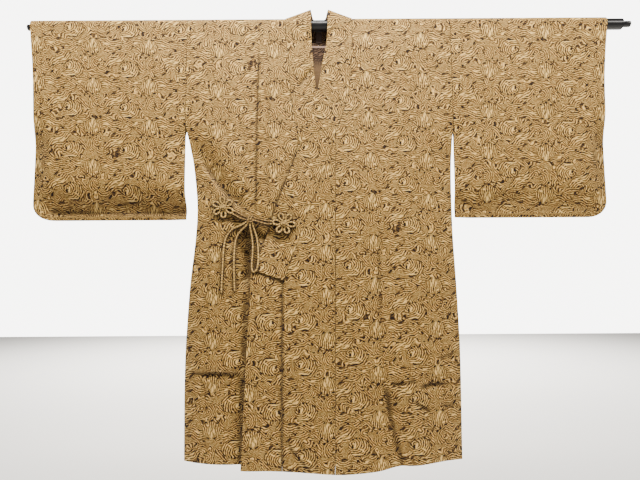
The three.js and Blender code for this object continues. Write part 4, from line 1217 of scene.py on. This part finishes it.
def band():
    """Upright band of the outer lap, which meets the slanting end of the collar"""
    across = spaced(BAND_WIDE, FINE)[None, :]
    down = spaced(BAND_LONG, FINE)[::-1, None]
    level = mix(BAND_TOP_Z, HEM_Z, down)
    x = mix(lap_edge_x(level), BAND_SEAM_X - SEAM_GAP / 2, across)
    corner_x, corner_z = COLLAR_OUTER["free_x"][0], COLLAR_OUTER["free_z"][0]
    end_x, end_z = COLLAR_OUTER["sewn_x"][0], COLLAR_OUTER["sewn_z"][0]
    top = mix(corner_z, end_z, (x - corner_x) / (end_x - corner_x)) - 2 * SEAM_GAP
    z = mix(top, read(HEM_OUTER, "x", x, "z"), down)
    return stack(x, outer_lap_y(x, z), z)


grid = band()
cloth = cloth_map(grid[..., 0], print_rows(grid[..., 2]), -0.107, -4.153, lean=-0.055, turned=True)
front_band = shell(
    "coat_front_band", grid, cloth, BODY_WALL, [crepe, lining], under=TIE + COLLAR_END + BAND_SEAM,
)
sewn(front_band, "front_band_left")


def sleeve_width(z):
    return read(SLEEVE_EDGE, "z", z, "x") - ARMHOLE_X - SEAM_GAP


def sleeve_hollow(which, across, x, z):
    """How deep the hollow above the foot of a sleeve is at a point"""
    peak = HOLLOW_PEAK["rise"] * np.exp(-(((x - HOLLOW_PEAK["x"]) / HOLLOW_PEAK["width"]) ** 2))
    half = np.where(z > SLEEVE_HOLLOW["z"], SLEEVE_HOLLOW["above"] + peak, SLEEVE_HOLLOW["below"])
    ends = smooth(1, 1 - SLEEVE_HOLLOW["end"], across)
    return SLEEVE_HOLLOW[which] * ends * np.exp(-(((z - SLEEVE_HOLLOW["z"]) / half) ** 2))


def sleeve_face(side, which, across, z, face):
    """Points of the front or the back of a sleeve, shut below the cuff and laid together at the armhole"""
    width = sleeve_width(z)
    x = ARMHOLE_X + SEAM_GAP + width * across
    closing = smooth(CUFF_CLOSING["reach"], 0, width * (1 - across))
    closing = closing * smooth(CUFF_CLOSING["from_z"], CUFF_CLOSING["full_z"], z)
    mouth = smooth(SLEEVE_MOUTH["reach"], 0, width * across)
    mouth = mouth * smooth(SLEEVE_MOUTH["from_z"], SLEEVE_MOUTH["full_z"], z)
    hollow = sleeve_hollow(which, across, x, z)
    crease = fold_depth(SLEEVE_CREASES, x, z) * SLEEVE_CREASES_ON[which] + unevenness(x * side, z)
    crease = crease * off_rod(z) * smooth(SLEEVE_FOOT_Z, SLEEVE_FOOT_Z + 0.04, z)
    hung = read(SLEEVE_LEVELS, "z", z, face)
    if face == "front":
        hung, shut = hung + hollow + crease, -SLEEVE_CLOSED_HALF
    else:
        hung = hung + HOLLOW_ON_BACK * hollow - SLEEVE_CREASES_ON["back"] * crease
        shut = SLEEVE_CLOSED_HALF
    y = mix(mix(hung, shut, closing), SLEEVE_MOUTH["y"] + hollow + shut, mouth)
    return stack(side * x, y, z)


def sleeve(side):
    """Points of a sleeve, a flat tube round the rod: front, top, back and foot, with its length and painted
    shade
    """
    which = "left" if side > 0 else "right"
    across = spaced(SLEEVE_WIDE, FINE)[None, :]
    corner = np.maximum(0, SLEEVE_CORNER - sleeve_width(SLEEVE_FOOT_Z) * (1 - across))
    foot = SLEEVE_FOOT_Z + SLEEVE_CORNER - np.sqrt(SLEEVE_CORNER**2 - corner**2)
    low = SLEEVE_LEVELS["z"][-1]
    levels = low * spaced(-low, FINE, edged=False)[::-1][:-1, None] * foot / SLEEVE_FOOT_Z
    front = sleeve_face(side, which, across, levels, "front")
    top, top_length = over_rod(side * (ARMHOLE_X + SEAM_GAP + sleeve_width(0) * across))
    levels = low * spaced(-low, COARSE * 0.75, edged=False)[1:, None] * foot / SLEEVE_FOOT_Z
    back = sleeve_face(side, which, across, levels, "back")
    turn = np.radians(np.linspace(0, 180, 10)[1:-1])[:, None]
    start, end = back[-1:], front[:1]
    y = (start[..., 1] + end[..., 1]) / 2 + (start[..., 1] - end[..., 1]) / 2 * np.cos(turn)
    bottom = stack(start[..., 0], y, start[..., 2] + (foot - end[..., 2]) * np.sin(turn))
    down_back = np.concatenate([back, bottom])[..., 2]
    length = np.concatenate([front[..., 2], top_length, math.pi * OVER_ROD - down_back])
    grid = np.concatenate([front, top, back, bottom])
    # Painted shade in the hollow above the foot, on the front only
    shade = np.zeros(grid.shape[:2])
    shade[:len(front)] = HOLLOW_SHADE * sleeve_hollow(which, across, side * front[..., 0], front[..., 2])
    if side < 0:
        grid, length, shade = grid[:, ::-1], length[:, ::-1], shade[:, ::-1]
    return grid, length, shade


grid, length, hollow_shade = sleeve(-1)
cloth = cloth_map(
    grid[..., 0], length / RIGHT_SLEEVE_ROW, -0.438, -1.145, width=SLEEVE_REPEAT, lean=-0.026, drop=-0.055,
)
sleeve_right = shell(
    "coat_sleeve_right", grid, cloth, BODY_WALL, [crepe, lining], wrapped=True, shaded=hollow_shade,
)
sewn(sleeve_right, "sleeve_right")

grid, length, hollow_shade = sleeve(1)
cloth = cloth_map(
    grid[..., 0], length / UPPER_ROW, 0.437, -1.668,
    width=SLEEVE_REPEAT, lean=0.034, drop=-0.040, turned=True,
)
sleeve_left = shell(
    "coat_sleeve_left", grid, cloth, BODY_WALL, [crepe, lining], wrapped=True, shaded=hollow_shade,
)
sewn(sleeve_left, "sleeve_left")


def collar_front(rows, surface, outer):
    """Grid of the collar on one front, from its end up to the rod"""
    rows = dict(rows, place=np.arange(len(rows["sewn_z"]), dtype=float))
    z = mix(rows["sewn_z"][0], 0, spaced(-rows["sewn_z"][0], FINE))[:, None]
    place = read(rows, "sewn_z", z, "place")
    across = spaced(COLLAR_WIDE, FINE)[None, :]
    x = mix(sewn_x(rows, z), read(rows, "place", place, "free_x"), across)
    level = mix(z, read(rows, "place", place, "free_z"), across)
    y = surface(x, level)
    if outer:
        end = smooth(COLLAR_END_LIFT["reach"], 0.0, z - z[0])
        y = y - end * (COLLAR_END_LIFT["by"] + COLLAR_END_LIFT["corner"] * smooth(0.35, 0.0, across))
        edge = smooth(0.5, 1.0, across) * smooth(COLLAR_EDGE_LIFT["from_z"], COLLAR_EDGE_LIFT["full_z"], z)
        y = y - COLLAR_EDGE_LIFT["by"] * edge
    on_rod = mix(-COLLAR_OVER_ROD, COLLAR_ROLL["y"], across)
    return stack(x, mix(y, on_rod, smooth(COLLAR_ROLL["from_z"], 0.0, z)), level)


def collar_shoulder(side, steps):
    """The collar over one shoulder, from the front of the rod to the nape"""
    turn = np.radians(-90 + 180 * np.minimum(1, steps / NECK_ROD_STEP))
    fall = math.pi / 2 * clamp((steps - NECK_ROD_STEP) / (NECK_NAPE_STEP - NECK_ROD_STEP))
    low_x, low_z = side * NECK_HALF * np.cos(fall), -NECK_DROP * np.sin(fall)
    over = steps <= NECK_ROD_STEP
    sewn_edge = np.stack([
        np.where(over, side * NECK_HALF, low_x),
        np.where(over, COLLAR_OVER_ROD * np.sin(turn), back_y(low_x, low_z)),
        np.where(over, COLLAR_OVER_ROD * np.cos(turn), low_z),
    ], -1)
    lean = NECK_LEAN if side > 0 else 1
    free_edge = np.stack([
        side * lean * read(NECK_ROWS, "step", steps, "free_x"),
        read(NECK_ROWS, "step", steps, "free_y"),
        read(NECK_ROWS, "step", steps, "free_z"),
    ], -1)
    return mix(sewn_edge[:, None], free_edge[:, None], spaced(COLLAR_WIDE, FINE)[None, :, None])


# Collar: one long band, from the hidden end up the right front, round the neck and down the left front
steps = np.concatenate([
    np.linspace(0, NECK_ROD_STEP, 25)[1:], np.linspace(NECK_ROD_STEP, NECK_NAPE_STEP, 13)[1:],
])
grid = np.concatenate([
    collar_front(COLLAR_INNER, inner_lap_y, False), collar_shoulder(-1, steps),
    collar_shoulder(1, steps)[:-1][::-1], collar_front(COLLAR_OUTER, outer_lap_y, True)[::-1],
])
middle = grid[:, grid.shape[1] // 2]
length = run_length(middle)
from_end = (length[-1] - length)[:, None]
across = np.linalg.norm(grid - grid[:, -1:], axis=-1)
cloth = cloth_map(across, from_end / COLLAR_ROW, 0.0178, 3.09)
collar = shell("coat_collar", grid, cloth, COLLAR_WALL, [crepe, crepe_in_painted_shade], under=TIE)
sewn(collar, "collar")


def lining_grid():
    """Lining of the back in the neck opening, just inside the back"""
    z = mix(LINING["foot"], -NECK_DROP - 0.002, spaced(LINING_LONG, FINE))[:, None]
    x = mix(-LINING["half"], LINING["half"], spaced(LINING_WIDE, FINE))[None, :]
    return stack(x, back_y(x, z) - BODY_WALL / 2 - SEAM_GAP - LINING_WALL / 2, z)


grid = lining_grid()
cloth = cloth_map(grid[..., 0], print_rows(grid[..., 2]), 0.020, -0.7)
back_lining = shell("coat_back_lining", grid, cloth, LINING_WALL, [back_silk, lining])
sewn(back_lining, "back_lining")


def between(row, z):
    """Point of a row of two or more points at a level"""
    return mix(row[0], row[-1], (z - row[0, 2]) / (row[-1, 2] - row[0, 2]))


def tape_grid():
    """Hanging tape inside the back of the collar, whose curve it follows"""
    beside, nape = collar_shoulder(1, np.array([NECK_NAPE_STEP - 1.0, NECK_NAPE_STEP]))
    inside = COLLAR_WALL / 2 + 2 * SEAM_GAP + TAPE_WALL / 2
    half = TAPE["width"] / 2
    x = np.linspace(-half, half, 7)
    rows = []
    for z in np.linspace(TAPE["foot"], TAPE["top"], 12):
        middle, aside = between(nape, z), between(beside, z)
        edge_y = mix(middle[1], aside[1], half / aside[0])
        rows.append(stack(x, mix(middle[1], edge_y, (x / half) ** 2) - inside, z))
    return np.array(rows)


grid = tape_grid()
cloth = np.stack([grid[..., 0], grid[..., 2]], -1)
neck_tape = shell("coat_hanging_tape", grid, cloth, TAPE_WALL, [tape_cloth, tape_cloth])
sewn(neck_tape, "neck_tape")


def spline(route, step):
    """Points close together along a smooth curve through a route"""
    route = np.array(route, float)
    padded = np.concatenate([[2 * route[0] - route[1]], route, [2 * route[-1] - route[-2]]])
    curve = []
    for a, b, c, d in zip(padded, padded[1:], padded[2:], padded[3:]):
        before, here, after = (max(1e-6, np.linalg.norm(q - p) ** 0.5) for p, q in ((a, b), (b, c), (c, d)))
        start = ((b - a) / before - (c - a) / (before + here) + (c - b) / here) * here
        end = ((c - b) / here - (d - b) / (here + after) + (d - c) / after) * here
        count = max(2, round(np.linalg.norm(c - b) / step))
        for t in np.arange(count) / count:
            on_line = b * (2 * t**3 - 3 * t**2 + 1) + c * (3 * t**2 - 2 * t**3)
            curve.append(on_line + start * (t**3 - 2 * t**2 + t) + end * (t**3 - t**2))
    curve.append(route[-1])
    return np.array(curve)


def cord_size(radius, length, closed):
    """Radius of a rolled cord along its length, slightly uneven, with rounded ends"""
    size = radius * (1 + 0.05 * np.sin(length * 900) + 0.03 * np.sin(length * 2300 + 1))
    if not closed:
        for end, taper in ((0, 0.55), (1, 0.88), (-1, 0.55), (-2, 0.88)):
            size[end] *= taper
    return size


def tube_parts(path, radius, closed, start):
    """Points, faces and maps of a cord along a path"""
    ahead = np.roll(path, -1, 0) - np.roll(path, 1, 0)
    if not closed:
        ahead[0], ahead[-1] = path[1] - path[0], path[-1] - path[-2]
    ahead = unit(ahead)
    side = unit(np.cross(ahead, np.array(CORD_FACES)))
    up = np.cross(side, ahead)
    angle = np.linspace(0, 2 * math.pi, CORD_SIDES, endpoint=False)
    length = run_length(path)
    size = cord_size(radius, length, closed)
    ring = np.cos(angle)[None, :, None] * side[:, None] + np.sin(angle)[None, :, None] * up[:, None]
    points = (path[:, None] + size[:, None, None] * ring).reshape(-1, 3)
    # From 0 to 1 round the cord, 1 on the crest that the cord materials paint with a highlight
    crest = 0.5 + 0.5 * np.sin(angle)
    maps = stack(crest[None, :], (length / REPEAT[1])[:, None]).reshape(-1, 2)
    count = len(path)
    faces = []
    for i in range(count if closed else count - 1):
        here, there = start + i * CORD_SIDES, start + (i + 1) % count * CORD_SIDES
        for j in range(CORD_SIDES):
            k = (j + 1) % CORD_SIDES
            faces.append([here + j, here + k, there + k, there + j])
    if not closed:
        faces.append([start + k for k in reversed(range(CORD_SIDES))])
        faces.append([start + (count - 1) * CORD_SIDES + k for k in range(CORD_SIDES)])
    return points, faces, maps


def from_parts(name, parts, materials):
    """One mesh of several tubes"""
    points, faces, maps = [], [], []
    for path, radius, closed in parts:
        start = sum(len(part) for part in points)
        some_points, some_faces, some_maps = tube_parts(path, radius, closed, start)
        points.append(some_points)
        faces.extend(some_faces)
        maps.append(some_maps)
    return new_mesh(name, np.concatenate(points), faces, np.concatenate(maps), [0] * len(faces), materials)


def flower(name):
    """Flower knot: loops of cord round a button, the whole turned to face the viewer"""
    row = FLOWERS[name]
    centre_x, centre_z = row["place"]
    surface = outer_lap_y if name == "flower_outer" else inner_lap_y
    rim = PETAL_REACH + PETAL_LOOP
    turns = np.radians(np.arange(0, 360, 30))
    seat = np.min(surface(centre_x + rim * np.cos(turns), centre_z + rim * np.sin(turns)))
    seat = min(seat, float(surface(centre_x, centre_z)))
    centre = np.array([centre_x, seat - row["wall"] / 2 - SEAM_GAP - CORD_RADIUS + row["settle"], centre_z])
    parts = []
    turn = np.linspace(0, 2 * math.pi, 24, endpoint=False)
    for k in range(PETALS):
        angle = row["turn"] + 2 * math.pi * k / PETALS
        out = np.array([math.cos(angle), 0, math.sin(angle)])
        side = np.array([-math.sin(angle), 0, math.cos(angle)])
        stretch = PETAL_STRETCH * PETAL_CORD["loop"] * (1 + 0.10 * math.sin(2.1 * k + 1.3))
        half = PETAL_CORD["loop"] * (1 - PETAL_TAPER * (1 - np.cos(turn)) / 2)
        path = centre + np.outer(PETAL_CORD["reach"] + stretch * np.cos(turn), out)
        path += np.outer(half * np.sin(turn), side)
        path[:, 1] += PETAL_CORD["lift"] - 0.0012 * np.cos(turn) + 0.0007 * math.sin(2.1 * k + 1.114)
        parts.append((path, PETAL_CORD["radius"], True))
    turn = np.linspace(0, 2 * math.pi, 20, endpoint=False)
    for ring, lift, radius in BUTTON_CORDS:
        path = centre + stack(ring * np.cos(turn), lift + 0.0006 * np.sin(3 * turn), ring * np.sin(turn))
        parts.append((path, radius, True))
    stands_for(from_parts("coat_" + name, parts, [petal_cloth]), name)


for name in FLOWERS:
    flower(name)


def knot_piece():
    """Knot of the half bow: two turns round the strands and one that crosses them"""
    centre = np.array(KNOT)
    turn = np.linspace(0, 2 * math.pi, 26, endpoint=False)
    rings = [
        stack(shift + lean * tall * np.sin(turn), wide * np.cos(turn), tall * np.sin(turn))
        for shift, lean, wide, tall in KNOT_TURNS
    ]
    rings.append(stack(0.0066 * np.cos(turn), 0.0040 * np.sin(turn) - 0.0004, 0.0052 * np.sin(turn) - 0.0010))
    parts = [(centre + ring, CORD_RADIUS, True) for ring in rings]
    core = spline([(-0.0075, 0.0, 0.001), (0, -0.0006, 0), (0.0075, 0.0, -0.001)], 0.001)
    parts.append((centre + core, KNOT_CORE_RADIUS, False))
    return from_parts("coat_tie_knot", parts, [strand_cloth])


tie_knot = knot_piece()
stands_for(tie_knot, "tie_knot")

for name, route in CORDS.items():
    path = spline(route, CORD_STEP)
    cord_material = strand_cloth if "strand" in name else cord_cloth
    piece = from_parts("coat_" + name, [(path, CORD_RADIUS, False)], [cord_material])
    stands_for(piece, name)
    length = round(float(run_length(path)[-1]), 3)
    far_end = "bare" if "tail" in name else "object"
    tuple(route[0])


# Rod: a painted tube and a thinner end at each side, with from x, to x, radius and chamfer
ROD_PIECES = {
    "rod_tube": (-0.663, 0.706, ROD_RADIUS, 0.0022),
    "rod_end_right": (-0.677, -0.6633, ROD_END_RADIUS, 0.0008),
    "rod_end_left": (0.7063, 0.725, ROD_END_RADIUS, 0.0008),
}


def added():
    """The primitive that was just added, at the origin, with its place in its mesh"""
    bpy.ops.object.transform_apply(location=True, rotation=True, scale=True)
    return bpy.context.object


def rod_piece(name, from_x, to_x, radius, chamfer):
    """Round bar along X with softly chamfered ends"""
    bpy.ops.object.select_all(action="DESELECT")
    bpy.ops.mesh.primitive_cylinder_add(
        vertices=64, radius=radius, depth=to_x - from_x, location=((from_x + to_x) / 2, 0, 0),
        rotation=(0, math.radians(90), 0),
    )
    piece = added()
    piece.name = "coat_" + name
    bpy.ops.object.mode_set(mode="EDIT")
    bpy.ops.mesh.select_mode(type="EDGE")
    bpy.ops.mesh.select_all(action="DESELECT")
    mesh = bmesh.from_edit_mesh(piece.data)
    for edge in mesh.edges:
        one, other = edge.verts
        edge.select = abs(one.co.x - other.co.x) < 1e-6
    bmesh.update_edit_mesh(piece.data)
    bpy.ops.mesh.bevel(offset=chamfer, segments=3)
    bpy.ops.object.mode_set(mode="OBJECT")
    bpy.ops.object.shade_smooth_by_angle(angle=math.radians(35))
    piece.data.materials.append(rod_paint)
    stands_for(piece, name)


for name, sizes in ROD_PIECES.items():
    rod_piece(name, *sizes)

# Pale floor
FLOOR_Z = -1.32
FLOOR_REACH = 6.5
bpy.ops.object.select_all(action="DESELECT")
bpy.ops.mesh.primitive_plane_add(size=2 * FLOOR_REACH, location=(0, 0, FLOOR_Z))
floor = added()
floor.name = "floor"
floor.data.materials.append(pale_floor())

# Room: bright where the camera sees it, dim as a light
ROOM_COLOUR = (1.0, 0.985, 0.955, 1)
ROOM_LIGHT = 0.07
ROOM_SEEN = 7.0
world = bpy.data.worlds.new("studio")
bpy.context.scene.world = world
world.use_nodes = True
background = world.node_tree.nodes["Background"]
background.inputs["Color"].default_value = ROOM_COLOUR
room = Nodes(world.node_tree)
seen = room.add("ShaderNodeLightPath").outputs["Is Camera Ray"]
room.give(background.inputs["Strength"], room.mixed(seen, ROOM_LIGHT, ROOM_SEEN))


def area_light(name, place, target, size, power, colour):
    data = bpy.data.lights.new(name, "AREA")
    data.shape = "RECTANGLE"
    data.size, data.size_y = size
    data.energy = power
    data.color = colour
    lamp = bpy.data.objects.new(name, data)
    lamp.location = place
    lamp.rotation_euler = (Vector(target) - Vector(place)).to_track_quat("-Z", "Y").to_euler()
    bpy.context.scene.collection.objects.link(lamp)


area_light("top_light", (-0.08, -0.62, 0.80), (0, 0, -0.25), (1.5, 0.15), 47, (1.0, 0.96, 0.89))
area_light("key_light", (2.2, -1.25, 0.75), (0.0, 0, -0.45), (0.5, 0.4), 22, (1.0, 0.96, 0.89))
area_light("fill_light", (-1.6, -1.9, 0.4), (0, 0, -0.5), (1.2, 1.4), 3, (1.0, 0.98, 0.95))
area_light("back_key_light", (-0.5, 1.4, 1.0), (0, 0, -0.40), (0.8, 0.5), 48, (1.0, 0.97, 0.92))
area_light("floor_light", (0.0, 4.0, 1.3), (0, 4.2, -1.3), (6.0, 3.4), 760, (1.0, 0.98, 0.95))
